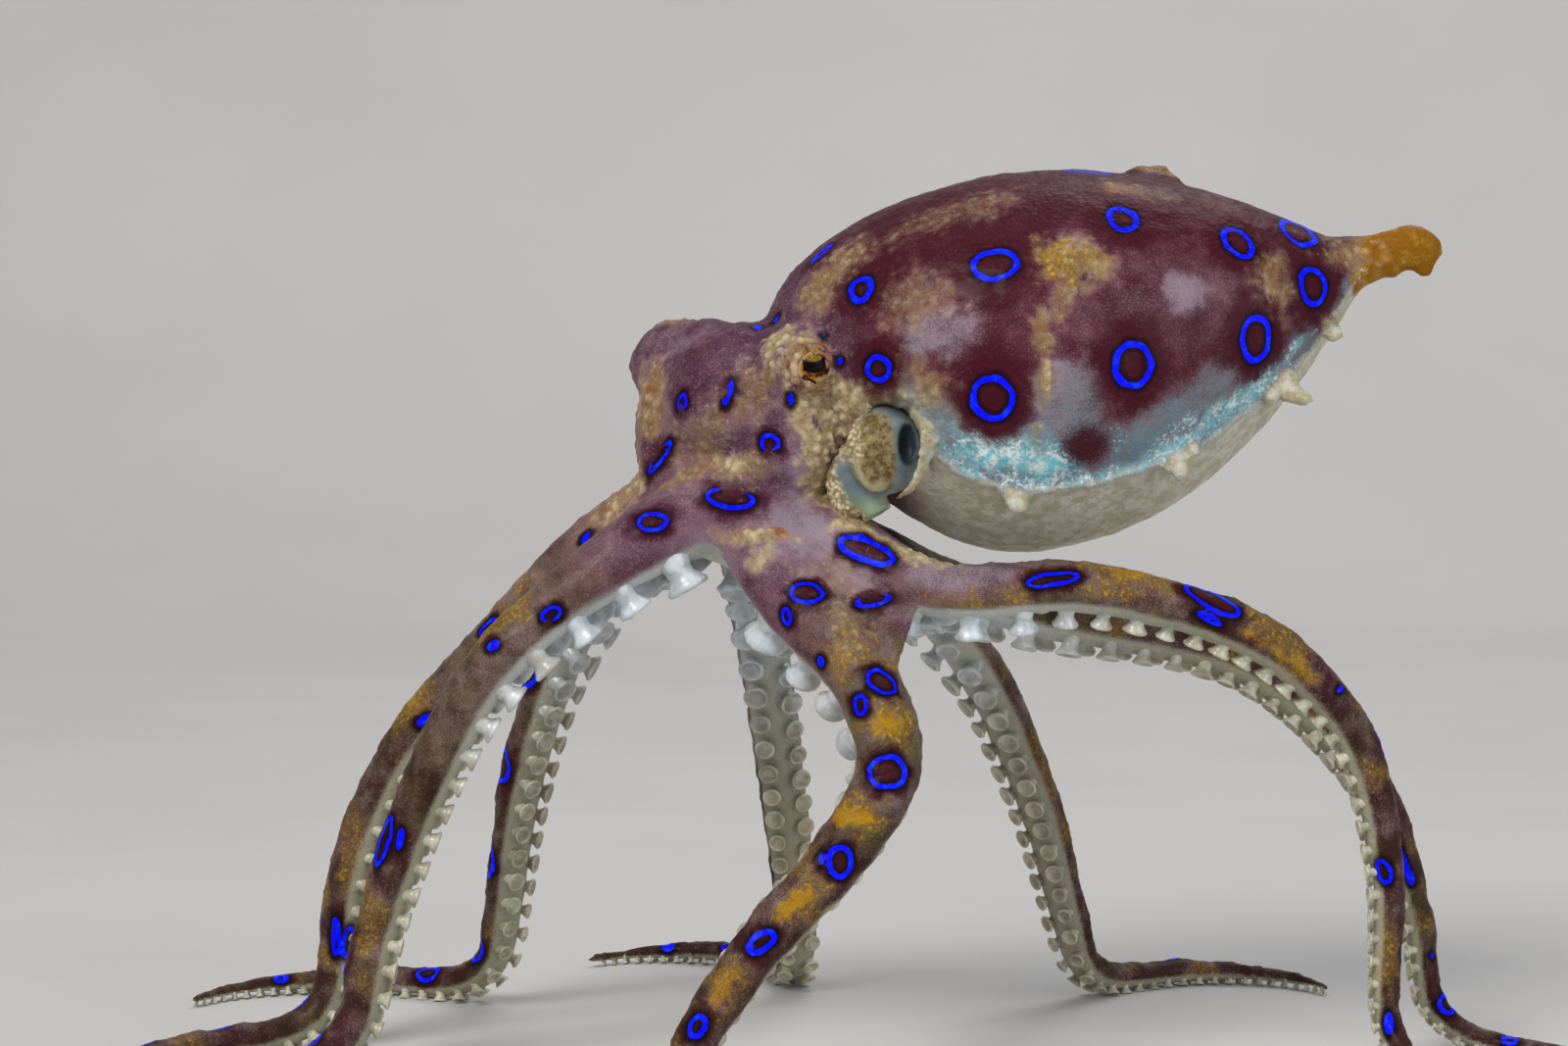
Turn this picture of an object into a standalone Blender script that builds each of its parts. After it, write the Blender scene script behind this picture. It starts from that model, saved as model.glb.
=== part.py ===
# A blue-ringed octopus, life size, standing on its eight arms with the mantle raised behind its head.
# Lengths are in millimetres, and mm turns them into metres where a shape is placed.
# +Z is up. The tail of the mantle points to +X, and the animal's left side faces -Y.

import random
from math import cos, exp, pi, radians, sin

import bmesh
import bpy
from mathutils import Matrix, Vector

mm = 0.001
seam_gap = 0.3
object_name = "blue_ringed_octopus"
stance_shift = Vector((2.46, 0.84, 0.0))     # puts the middle of the outline over the origin

# The mantle: an egg-like sac on a straight axis, with its own profile above and below that axis
mantle_front = Vector((-8.9, 1.0, 51.0))
mantle_end = Vector((37.4, 0.2, 61.6))
back_height = 13.2
back_profile = dict(peak=0.40, front=(2.0, 0.32), rear=(1.9, 1.0))
belly_depth = 15.8
belly_profile = dict(peak=0.41, front=(2.3, 1.15), rear=(2.2, 1.15))
mantle_breadth = 0.93   # width of a section against its height
mantle_rings = 17
mantle_sides = 20

# The tail papilla as sections: distance behind the mantle's end, rise, half height, half width
tail_sections = [(-5.0, 0.0, 2.9, 2.4), (-2.4, 0.1, 1.8, 1.5), (-0.4, 0.4, 1.25, 1.0), (1.2, 0.7, 1.45, 1.05),
                 (2.8, 0.55, 1.8, 1.15), (4.1, 0.3, 1.4, 0.95), (4.8, 0.15, 0.75, 0.5)]
# The bumps under it: distance behind the mantle's end, rise, radius
tail_bumps = [(0.9, -0.75, 0.62), (3.3, -1.15, 0.72)]

# Papillae: share of the mantle's length, degrees from the back down the flank, height, base radius, lean aft
flank_papillae = [(0.345, 128, 2.3, 1.2, 0.0), (0.60, 132, 2.5, 1.25, 0.2), (0.795, 136, 2.9, 1.15, 0.7),
                  (0.89, 131, 2.0, 0.9, 0.5)]
back_papillae = [(0.655, -4, 0.7, 1.7, 0.0), (0.685, -5, 1.25, 1.5, 0.0), (0.505, 58, 0.9, 1.7, 0.0),
                 (0.505, -58, 0.9, 1.7, 0.0)]
papilla_sides = 7
# A papilla's outline: share of its height, share of its base radius
papilla_outline = [(-0.7, 1.25), (0.0, 1.0), (0.45, 0.62), (0.8, 0.5), (1.0, 0.26)]

# The head: a rounded core, the brow that runs down to the arms, and an orbit round each eye
side_axis = Vector((-0.70, 0.71, 0.0)).normalized()
head_middle = Vector((-11.0, 0.0, 51.2))
head_radii = (6.8, 6.2, 6.0)
brow_middle = Vector((-15.3, 2.2, 48.6))
brow_radii = (4.2, 4.3, 7.0)
cheek_middle = Vector((-7.6, -3.4, 48.6))
cheek_radii = (4.4, 4.2, 5.2)
orbits = {"left": (Vector((-6.6, -4.9, 53.9)), Vector((0.22, -0.975, 0.02)).normalized(), 3.4),
          "right": (Vector((-16.1, 4.6, 53.6)), Vector((-0.72, 0.69, 0.03)).normalized(), 3.8)}
eye_radius = 1.8
eye_depth = 1.15        # the eyeball's middle lies this far under the orbit's surface
lid_radius = 1.45
lid_thickness = 0.42
lid_height = 0.05       # how far under the orbit's surface the lid ring is centred

# The siphon, in the mantle opening on the left side
siphon_middle = Vector((-0.5, -7.6, 47.8))
siphon_radii = (2.9, 2.1, 3.4)
siphon_hollow = Vector((1.3, -9.8, 48.4))
hollow_radii = (0.95, 1.7, 1.7)
lobe_middle = Vector((-1.3, -9.1, 47.3))
lobe_radii = (1.25, 1.1, 2.2)
siphon_base = Vector((-3.0, -5.5, 45.3))
base_radii = (1.8, 1.5, 3.0)
spout_route = [Vector((-2.2, -5.8, 46.4)), Vector((-1.9, -6.4, 44.6)), Vector((-0.9, -6.8, 42.9))]
spout_radius = 1.45
spout_bore = 0.8
spout_taper = 0.11

# The crown, where the arms meet round the mouth, and the web between their roots
crown_middle = Vector((-10.4, 0.4, 43.4))
crown_radii = (7.4, 6.8, 5.0)
mouth_middle = Vector((-10.2, 0.3, 38.6))
mouth_radius = 1.6
lip_thickness = 0.62
root_length = 12.0      # arm length that belongs to the crown
web_start = 1.5
web_width = 0.94        # the web stops this near to the middle lines of its two arms
web_thickness = 0.85
web_bulge = 0.9

# The eight arms in their order round the mouth: the points their middle line passes on the way down, the
# heading and the turn with which it then lies along the floor, the whole length, the radius at the root, and
# the web to the next arm: its reach along this arm and along that one, and how deeply its edge is scalloped
arms = {
    "arm_right_1": dict(heading=200, turn=105, length=84, root=2.2, web=(10.5, 10.5, 0.35), route=[
        (-14.6, 1.4, 44.4), (-23.4, 4.6, 39.3), (-32.5, 6.5, 30.0), (-38.5, 7.0, 22.5),
        (-42.0, 6.0, 14.0), (-43.2, 6.0, 6.0)]),
    "arm_left_1": dict(heading=228, turn=100, length=83, root=2.3, web=(11.0, 8.5, 0.62), route=[
        (-14.0, -2.2, 43.2), (-22.0, -5.0, 38.4), (-30.0, -6.0, 31.5), (-35.0, -5.0, 22.5),
        (-38.5, -4.5, 13.0), (-40.0, -6.0, 6.0)]),
    "arm_left_2": dict(heading=222, turn=120, length=82, root=3.0, joined=19.0, flare=0.2,
                       web=(18.0, 11.2, 0.20), route=[
        (-10.2, -3.4, 41.4), (-6.6, -8.6, 36.2), (-2.0, -12.6, 31.0), (-0.4, -15.2, 24.5),
        (-4.5, -17.0, 18.0), (-9.5, -18.5, 12.6), (-14.0, -20.0, 6.5)]),
    "arm_left_3": dict(heading=300, turn=-100, length=90, root=2.15, web=(10.5, 10.5, 0.42), route=[
        (-6.8, -3.2, 41.8), (3.5, -8.4, 37.4), (14.5, -8.5, 37.6), (27.0, -7.0, 34.0),
        (35.0, -4.0, 26.5), (38.0, -2.5, 16.0), (38.0, -3.0, 6.0)]),
    "arm_left_4": dict(heading=345, turn=-75, length=86, root=2.2, web=(10.5, 10.5, 0.42), route=[
        (-5.8, 1.2, 41.0), (3.5, 3.2, 37.0), (12.0, 4.5, 34.5), (28.0, 6.0, 30.5),
        (38.0, 6.5, 21.0), (41.5, 6.0, 11.0), (42.3, 6.0, 6.0)]),
    "arm_right_4": dict(heading=58, turn=-150, length=80, root=2.2, web=(10.5, 10.5, 0.42), route=[
        (-6.8, 3.6, 41.2), (1.0, 11.0, 37.0), (8.0, 18.0, 28.5), (13.0, 23.0, 17.0), (16.0, 26.0, 6.0)]),
    "arm_right_3": dict(heading=92, turn=150, length=78, root=2.2, web=(10.5, 10.5, 0.42), route=[
        (-10.2, 4.6, 41.4), (-10.6, 14.0, 38.0), (-9.6, 22.0, 29.0), (-8.0, 27.0, 17.0), (-7.0, 29.5, 6.0)]),
    "arm_right_2": dict(heading=140, turn=120, length=80, root=2.2, web=(10.5, 10.5, 0.42), route=[
        (-13.4, 3.8, 42.2), (-19.5, 10.0, 39.0), (-25.5, 16.0, 31.0), (-29.5, 21.0, 19.0),
        (-31.5, 24.0, 6.0)]),
}
grip_point = Vector((-4.0, 5.0, 14.0))     # the suckers face this point until the arms turn down to the floor
floor_level = (2.5, 9.0)
touchdown_radius = 4.5
suppleness = 0.22       # how quickly an arm takes a new direction, for each step
tightening = 1.6        # makes the curl on the floor tighter towards the tip
tip_radius = 0.34
taper_power = 2.3
root_flare = 1.1        # how much thicker an arm is where it leaves the crown
flare_reach = 9.0
arm_flatness = 0.9      # thickness of an arm against its width
arm_sides = 9
ring_spacing = 3.4
length_cuts = (0.44, 0.71)
length_names = ("upper", "middle", "tip")
path_step = 0.5
floor_size = (300.0, 20.0)

# Suckers: two staggered rows of cups along the inner side of each arm, out to its tip
sucker_width = 0.50     # rim radius against the arm's radius
sucker_height = 0.34    # how far a cup stands out, as a share of the arm's radius
sucker_spread = 0.50    # how far each row stands off the middle of the arm
sucker_neck = 0.8       # radius of a cup's foot against its rim
sucker_lean = 0.35
sucker_root = 0.3       # the height over the arm's middle line at which a cup is rooted
smallest_sucker = 0.34
sucker_spacing = (0.5, 1.25)               # spacing along the arm: a fixed part, and a share of the radius
closest_suckers = 1.75
first_sucker = 6.0
bare_tip = 2.0
sucker_variation = (0.92, 1.08)
sucker_sides = 6
sucker_dish = 0.55
sole_depth = 0.15       # how much of the lowest rims the floor flattens

skin_finish = ((0.20, 0.07, 0.09), 0.45)
arm_finish = ((0.42, 0.30, 0.12), 0.45)
siphon_finish = ((0.55, 0.56, 0.50), 0.40)
eye_finish = ((0.55, 0.32, 0.06), 0.15)


def clear_scene():
    for old in list(bpy.data.objects):
        bpy.data.objects.remove(old)


def new_collection(name):
    collection = bpy.data.collections.new(name)
    bpy.context.scene.collection.children.link(collection)
    return collection


def material_for(name, finish):
    colour, roughness = finish
    material = bpy.data.materials.new(name)
    material.use_nodes = True
    shader = material.node_tree.nodes["Principled BSDF"]
    shader.inputs["Base Color"].default_value = (*colour, 1.0)
    shader.inputs["Roughness"].default_value = roughness
    shader.inputs["Metallic"].default_value = 0.0
    return material


# Shaping tools

def object_from(bm, name):
    bmesh.ops.recalc_face_normals(bm, faces=bm.faces)
    mesh = bpy.data.meshes.new(name)
    bm.to_mesh(mesh)
    bm.free()
    made = bpy.data.objects.new(name, mesh)
    bpy.context.scene.collection.objects.link(made)
    return made


def placed(middle, x, y, z):
    """The matrix that takes a unit shape to three scaled axes round a middle given in millimetres."""
    matrix = Matrix((x, y, z)).transposed().to_4x4()
    matrix.translation = middle
    return Matrix.Scale(mm, 4) @ matrix


def axes_along(direction, lean):
    """Unit axes whose third is the direction and whose second is the part of lean across it."""
    z = direction.normalized()
    y = (lean - z * lean.dot(z)).normalized()
    return y.cross(z), y, z


def ellipsoid(name, middle, radii, forward=Vector((1.0, 0.0, 0.0)), grow=0.0, sides=16):
    """An ellipsoid whose first radius lies along forward and whose poles are above and below."""
    up = Vector((0.0, 0.0, 1.0))
    across = up.cross(forward)
    a, b, c = (radius + grow for radius in radii)
    bm = bmesh.new()
    bmesh.ops.create_uvsphere(bm, u_segments=sides, v_segments=sides // 2 + 2, radius=1.0,
                              matrix=placed(middle, forward * a, across * b, up * c))
    return object_from(bm, name)


def loft(name, rings, sides):
    """A circle extruded from one ring matrix to the next, capped at both ends."""
    bm = bmesh.new()
    bmesh.ops.create_circle(bm, segments=sides, radius=1.0, matrix=rings[0])
    first = bm.edges[:]
    edges = first
    for before, after in zip(rings, rings[1:]):
        grown = bmesh.ops.extrude_edge_only(bm, edges=edges)["geom"]
        verts = [item for item in grown if isinstance(item, bmesh.types.BMVert)]
        bmesh.ops.transform(bm, matrix=after @ before.inverted(), verts=verts)
        edges = [item for item in grown if isinstance(item, bmesh.types.BMEdge)
                 and item.verts[0] in verts and item.verts[1] in verts]
    bmesh.ops.edgeloop_fill(bm, edges=first)
    bmesh.ops.edgeloop_fill(bm, edges=edges)
    return object_from(bm, name)


def apply_modifiers(obj):
    bpy.context.view_layer.update()
    graph = bpy.context.evaluated_depsgraph_get()
    mesh = bpy.data.meshes.new_from_object(obj.evaluated_get(graph))
    obj.modifiers.clear()
    obj.data = mesh


def keep_largest(obj):
    """Drops every closed surface of the object but the one with the most area."""
    bm = bmesh.new()
    bm.from_mesh(obj.data)
    waiting = set(bm.faces)
    islands = []
    while waiting:
        front = [waiting.pop()]
        island = list(front)
        while front:
            near = {other for edge in front.pop().edges for other in edge.link_faces} & waiting
            waiting -= near
            front.extend(near)
            island.extend(near)
        islands.append(island)
    islands.sort(key=lambda island: sum(face.calc_area() for face in island))
    scraps = [face for island in islands[:-1] for face in island]
    bmesh.ops.delete(bm, geom=scraps, context="FACES")
    bm.to_mesh(obj.data)
    bm.free()


def fuse(name, pieces):
    """One closed body from overlapping closed pieces, which are used up."""
    body, others = pieces[0], pieces[1:]
    body.name = name
    group = new_collection(name + "_pieces")
    for piece in others:
        bpy.context.scene.collection.objects.unlink(piece)
        group.objects.link(piece)
    union = body.modifiers.new("union", "BOOLEAN")
    union.operation = "UNION"
    union.operand_type = "COLLECTION"
    union.collection = group
    apply_modifiers(body)
    for piece in others:
        bpy.data.objects.remove(piece)
    bpy.data.collections.remove(group)
    keep_largest(body)
    return body


def carve(body, cutters):
    for cutter in cutters:
        cut = body.modifiers.new("cut " + cutter.name, "BOOLEAN")
        cut.operation = "DIFFERENCE"
        cut.object = cutter
        apply_modifiers(body)
    keep_largest(body)
    return body


# The mantle

mantle_line = mantle_end - mantle_front
mantle_length = mantle_line.length
mantle_side, mantle_up, mantle_axis = axes_along(mantle_line, Vector((0.0, 0.0, 1.0)))


def swell(share, peak, front, rear):
    """A profile that is 1 at its peak and 0 at both ends, with two exponents for each side."""
    away = 1.0 - share / peak if share < peak else (share - peak) / (1.0 - peak)
    power, root = front if share < peak else rear
    return (1.0 - away ** power) ** root


def mantle_section(share, grow=0.0):
    """Middle, half height and half width of the mantle at a share of its length."""
    above = back_height * swell(share, **back_profile)
    below = belly_depth * swell(share, **belly_profile)
    half = (above + below) / 2.0
    middle = mantle_front + mantle_line * share + mantle_up * (above - below) / 2.0
    return middle, half + grow, half * mantle_breadth + grow


def mantle_ring(share):
    middle, height, width = mantle_section(share)
    return placed(middle, mantle_side * width, mantle_up * height, mantle_axis)


def papilla(name, share, angle, height, radius, lean):
    """A soft cone that rises out of the mantle and leans towards the tail."""
    middle, half_height, half_width = mantle_section(share)
    up = mantle_up * cos(radians(angle))
    side = -mantle_side * sin(radians(angle))
    foot = middle + up * half_height + side * half_width
    outward = (up / half_height + side / half_width).normalized()
    rings = []
    for rise, girth in papilla_outline:
        point = foot + outward * height * rise + mantle_axis * lean * height * max(rise, 0.0) ** 2
        x, y, z = axes_along(outward + mantle_axis * lean * max(rise, 0.0), mantle_axis)
        rings.append(placed(point, x * radius * girth, y * radius * girth, z))
    return loft(name, rings, papilla_sides)


def mantle_pieces():
    shares = [0.5 - 0.5 * cos(pi * (0.05 + 0.93 * i / (mantle_rings - 1))) for i in range(mantle_rings)]
    sac = loft("sac", [mantle_ring(share) for share in shares], mantle_sides)
    tail_rings = [placed(mantle_end + mantle_axis * behind + mantle_up * rise,
                         mantle_side * width, mantle_up * height, mantle_axis)
                  for behind, rise, height, width in tail_sections]
    bumps = [ellipsoid("bump", mantle_end + mantle_axis * behind + mantle_up * rise, [radius] * 3, sides=8)
             for behind, rise, radius in tail_bumps]
    bumps += [papilla("papilla", share, angle * side, *rest)
              for side in (1, -1) for share, angle, *rest in flank_papillae]
    bumps += [papilla("papilla", *sizes) for sizes in back_papillae]
    return [sac, loft("tail", tail_rings, 12)] + bumps


# The head with its lids, and the eyes

def head_pieces(grow=0.0):
    pieces = [ellipsoid("skull", head_middle, head_radii, side_axis, grow),
              ellipsoid("brow", brow_middle, brow_radii, side_axis, grow),
              ellipsoid("cheek", cheek_middle, cheek_radii, side_axis, grow)]
    for side, (middle, gaze, radius) in orbits.items():
        pieces.append(ellipsoid("orbit_" + side, middle, (radius, radius, radius), side_axis, grow))
    return pieces


def lid(middle, gaze, radius):
    """A ring of flesh round the eye opening."""
    x, y, z = axes_along(gaze, Vector((0.0, 0.0, 1.0)))
    place = placed(middle + gaze * (radius - lid_height), x, y, z)
    ring = Matrix.Translation((lid_radius, 0.0, 0.0)) @ Matrix.Rotation(pi / 2.0, 4, "X")
    bm = bmesh.new()
    bmesh.ops.create_circle(bm, segments=6, radius=lid_thickness, matrix=ring)
    bmesh.ops.spin(bm, geom=bm.verts[:] + bm.edges[:], cent=(0.0, 0.0, 0.0), axis=(0.0, 0.0, 1.0),
                   angle=2.0 * pi, steps=14, use_merge=True)
    bmesh.ops.transform(bm, matrix=place, verts=bm.verts)
    return object_from(bm, "lid")


def eyeball(name, side, grow=0.0):
    middle, gaze, radius = orbits[side]
    place = middle + gaze * (radius - eye_depth)
    return ellipsoid(name + "_" + side, place, [eye_radius] * 3, grow=grow, sides=14)


# The siphon

def spout(name, radius, extra):
    """A tube that narrows along the spout's route; extra lengthens its lower end."""
    points = spout_route[:-1]
    points.append(spout_route[-1] + (spout_route[-1] - spout_route[-2]).normalized() * extra)
    rings = []
    for i, point in enumerate(points):
        direction = points[min(i + 1, 2)] - points[max(i - 1, 0)]
        x, y, z = axes_along(direction, Vector((0.0, 1.0, 0.0)))
        size = radius * (1.0 - spout_taper * i)
        rings.append(placed(point, x * size, y * size, z))
    return loft(name, rings, 12)


def siphon_pieces(grow=0.0):
    return [ellipsoid("collar", siphon_middle, siphon_radii, grow=grow),
            ellipsoid("lobe", lobe_middle, lobe_radii, grow=grow, sides=12),
            ellipsoid("base", siphon_base, base_radii, grow=grow, sides=12),
            spout("spout", spout_radius + grow, grow)]


# Arm routes

def smooth_points(points, step):
    """Points about a step apart on a Catmull-Rom curve through the given ones."""
    knots = [points[0] * 2.0 - points[1]] + points + [points[-1] * 2.0 - points[-2]]
    found = []
    for a, b, c, d in zip(knots, knots[1:], knots[2:], knots[3:]):
        count = max(1, round((c - b).length / step))
        for i in range(count):
            t = i / count
            found.append(0.5 * (2.0 * b + (c - a) * t + (2.0 * a - 5.0 * b + 4.0 * c - d) * t ** 2
                                + (3.0 * b - a - 3.0 * c + d) * t ** 3))
    return found + [points[-1]]


def ramp(value, low, high):
    t = min(1.0, max(0.0, (value - low) / (high - low)))
    return t * t * (3.0 - 2.0 * t)


class Arm:
    """The middle line of one arm with its frames, by distance from the root."""

    def __init__(self, name, heading, turn, length, root, route, web, joined=root_length, flare=root_flare):
        self.name = name
        self.length = length
        self.root = root
        self.web = web
        self.joined = joined
        self.flare = flare
        self.points = smooth_points([Vector(point) for point in route], path_step)
        self.lie_down(radians(heading), radians(turn))
        self.tangents = [(b - a).normalized() for a, b in zip(self.points, self.points[1:])]
        self.tangents.append(self.tangents[-1])
        self.face_suckers()

    def radius(self, s):
        share = min(1.0, max(0.0, s / self.length))
        flare = self.flare * exp(-(max(s, 0.0) / flare_reach) ** 2)
        return tip_radius + (self.root - tip_radius) * (1.0 - share ** taper_power) + flare

    def rest_height(self, s):
        radius = self.radius(s)
        return radius * arm_flatness + max(radius * sucker_height, smallest_sucker) * 0.9 - sole_depth

    def lie_down(self, heading, turn):
        """Carries the line on to its full length, down to the floor and along it."""
        s = sum((b - a).length for a, b in zip(self.points, self.points[1:]))
        direction = (self.points[-1] - self.points[-2]).normalized()
        start = s
        while s < self.length:
            share = (s - start) / (self.length - start)
            bearing = heading + turn * share ** tightening
            fall = (self.points[-1].z - self.rest_height(s)) / touchdown_radius
            fall = min(1.0, max(-1.0, fall))
            level = (1.0 - fall * fall) ** 0.5
            aim = Vector((cos(bearing) * level, sin(bearing) * level, -fall))
            direction = direction.lerp(aim, suppleness).normalized()
            self.points.append(self.points[-1] + direction * path_step)
            s += path_step

    def face_suckers(self):
        """The direction of the sucker side at each point, carried smoothly along the line."""
        self.inward = []
        facing = grip_point - self.points[0]
        for point, tangent in zip(self.points, self.tangents):
            down = 1.0 - ramp(point.z, *floor_level)
            aim = (grip_point - point).normalized().lerp(Vector((0.0, 0.0, -1.0)), down)
            aim = aim - tangent * aim.dot(tangent)
            facing = facing - tangent * facing.dot(tangent)
            facing = (facing.normalized() + aim * suppleness).normalized()
            self.inward.append(facing)

    def at(self, s):
        """Point, tangent and sucker direction at a distance from the root."""
        place = min(max(s / path_step, 0.0), len(self.points) - 1.001)
        i = int(place)
        point = self.points[i].lerp(self.points[i + 1], place - i)
        tangent = self.tangents[i].lerp(self.tangents[i + 1], place - i).normalized()
        facing = self.inward[i].lerp(self.inward[i + 1], place - i)
        return point, tangent, (facing - tangent * facing.dot(tangent)).normalized()

    def ring(self, s):
        point, tangent, facing = self.at(s)
        radius = self.radius(s)
        return placed(point, tangent.cross(facing) * radius, facing * radius * arm_flatness, tangent)

    def stretch(self, start, end):
        """The tube between two distances from the root."""
        count = max(2, round((end - start) / ring_spacing))
        rings = [self.ring(start + (end - start) * i / count) for i in range(count + 1)]
        return loft(self.name, rings, arm_sides)

    def suckers(self, start, end):
        """The suckers that stand clear between two distances from the root."""
        chance = random.Random(self.name)
        found = []
        s = first_sucker
        side = 1
        while s < self.length - bare_tip:
            size = max(self.radius(s) * sucker_width, smallest_sucker) * chance.uniform(*sucker_variation)
            if start + size < s < end - size:
                found.append(self.sucker(s, side, size))
            s += max(closest_suckers, sucker_spacing[0] + sucker_spacing[1] * self.radius(s))
            side = -side
        return found

    def sucker(self, s, side, size):
        """A cup on a short stalk: a cone frustum with a dished mouth."""
        point, tangent, facing = self.at(s)
        radius = self.radius(s)
        across = tangent.cross(facing) * side
        outward = (facing + across * sucker_lean).normalized()
        depth = max(radius * sucker_height, smallest_sucker) + radius * (arm_flatness - sucker_root) * 0.84
        foot = point + across * radius * sucker_spread + facing * radius * sucker_root
        x, y, z = axes_along(outward, tangent)
        bm = bmesh.new()
        bmesh.ops.create_cone(bm, cap_ends=True, segments=sucker_sides, radius1=size * sucker_neck,
                              radius2=size, depth=depth, matrix=Matrix.Translation((0.0, 0.0, depth / 2.0)))
        mouth = max(bm.faces, key=lambda face: face.calc_center_median().z)
        centre = bmesh.ops.poke(bm, faces=[mouth])["verts"]
        bmesh.ops.translate(bm, vec=(0.0, 0.0, -size * sucker_dish), verts=centre)
        bmesh.ops.transform(bm, matrix=placed(foot, x, y, z), verts=bm.verts)
        return object_from(bm, "sucker")


# The crown

def web(first, second):
    """The skin stretched between the roots of two neighbouring arms, shorter at its middle."""
    reach_a, reach_b, scallop = first.web
    bm = bmesh.new()
    bmesh.ops.create_grid(bm, x_segments=6, y_segments=4, size=0.5)
    for vert in bm.verts:
        across = 0.5 + vert.co.x * web_width
        middle = 4.0 * across * (1.0 - across)
        down = (vert.co.y + 0.5) * (1.0 - scallop * middle)
        point_a, _, facing_a = first.at(web_start + down * (reach_a - web_start))
        point_b, _, facing_b = second.at(web_start + down * (reach_b - web_start))
        outward = -facing_a.lerp(facing_b, across).normalized()
        vert.co = (point_a.lerp(point_b, across) + outward * web_bulge * middle) * mm
    sheet = object_from(bm, "web")
    wall = sheet.modifiers.new("wall", "SOLIDIFY")
    wall.thickness = web_thickness * mm
    wall.offset = 0.0
    apply_modifiers(sheet)
    return sheet


def lips():
    """The ring of the lips round the mouth, facing down."""
    bm = bmesh.new()
    ring = Matrix.Translation((mouth_radius, 0.0, 0.0)) @ Matrix.Rotation(pi / 2.0, 4, "X")
    bmesh.ops.create_circle(bm, segments=6, radius=lip_thickness, matrix=ring)
    bmesh.ops.spin(bm, geom=bm.verts[:] + bm.edges[:], cent=(0.0, 0.0, 0.0), axis=(0.0, 0.0, 1.0),
                   angle=2.0 * pi, steps=12, use_merge=True)
    place = placed(mouth_middle, Vector((1, 0, 0)), Vector((0, 1, 0)), Vector((0, 0, 1)))
    bmesh.ops.transform(bm, matrix=place, verts=bm.verts)
    return object_from(bm, "lips")


def crown_pieces(limbs):
    pieces = [ellipsoid("dome", crown_middle, crown_radii), lips()]
    for limb, following in zip(limbs, limbs[1:] + limbs[:1]):
        pieces.append(limb.stretch(0.0, limb.joined - seam_gap / 2.0))
        pieces.append(web(limb, following))
        pieces.extend(limb.suckers(0.0, limb.joined - seam_gap / 2.0))
    return pieces


def floor_box():
    """Everything under the floor."""
    bm = bmesh.new()
    width, depth = floor_size
    slab = placed(Vector((0.0, 0.0, -depth / 2.0)), Vector((width, 0.0, 0.0)), Vector((0.0, width, 0.0)),
                  Vector((0.0, 0.0, depth)))
    bmesh.ops.create_cube(bm, size=1.0, matrix=slab)
    return object_from(bm, "floor")


def build_octopus():
    clear_scene()
    parts = new_collection(object_name)
    cutters = new_collection("cutters")
    floor = floor_box()
    sockets = [eyeball("socket", side, seam_gap) for side in orbits]
    head_room = fuse("head_room", head_pieces(seam_gap))
    siphon_room = fuse("siphon_room", siphon_pieces(seam_gap))
    hollow = ellipsoid("siphon_hollow", siphon_hollow, hollow_radii, sides=12)
    bore = spout("siphon_bore", spout_bore, 1.0)

    eyes = [eyeball("eye", side) for side in orbits]
    lids = [lid(*orbits[side]) for side in orbits]
    head = carve(fuse("head", head_pieces() + lids), sockets + [siphon_room])
    siphon = carve(fuse("siphon", siphon_pieces()), [hollow, bore])
    mantle = carve(fuse("mantle", mantle_pieces()), [head_room, siphon_room])
    limbs = [Arm(name, **sizes) for name, sizes in arms.items()]
    crown = carve(fuse("crown", crown_pieces(limbs)), [head_room, siphon_room])
    finished = [(head, skin_finish), (mantle, skin_finish), (crown, skin_finish), (siphon, siphon_finish)]
    finished += [(eye, eye_finish) for eye in eyes]
    for limb in limbs:
        ends = [limb.joined] + [limb.length * share for share in length_cuts] + [limb.length + seam_gap]
        for label, start, end in zip(length_names, ends, ends[1:]):
            span = (start + seam_gap / 2.0, end - seam_gap / 2.0)
            length = fuse(limb.name + "_" + label, [limb.stretch(*span)] + limb.suckers(*span))
            finished.append((carve(length, [floor]), arm_finish))

    stance = bpy.data.objects.new("stance", None)
    stance.location = stance_shift * mm
    parts.objects.link(stance)
    for part, finish in finished:
        bpy.context.scene.collection.objects.unlink(part)
        parts.objects.link(part)
        part.data.materials.clear()
        part.data.materials.append(material_for(part.name + "_finish", finish))
        part.data.shade_smooth()
        part.parent = stance
    for cutter in sockets + [floor, head_room, siphon_room, hollow, bore]:
        bpy.context.scene.collection.objects.unlink(cutter)
        cutters.objects.link(cutter)
        cutter.hide_render = True
        cutter.display_type = "WIRE"


build_octopus()
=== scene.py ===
import random
from math import cos, exp, pi, radians, sin

import bmesh
import bpy
import numpy as np
from mathutils import Matrix, Vector, kdtree, noise
from mathutils.bvhtree import BVHTree


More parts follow.
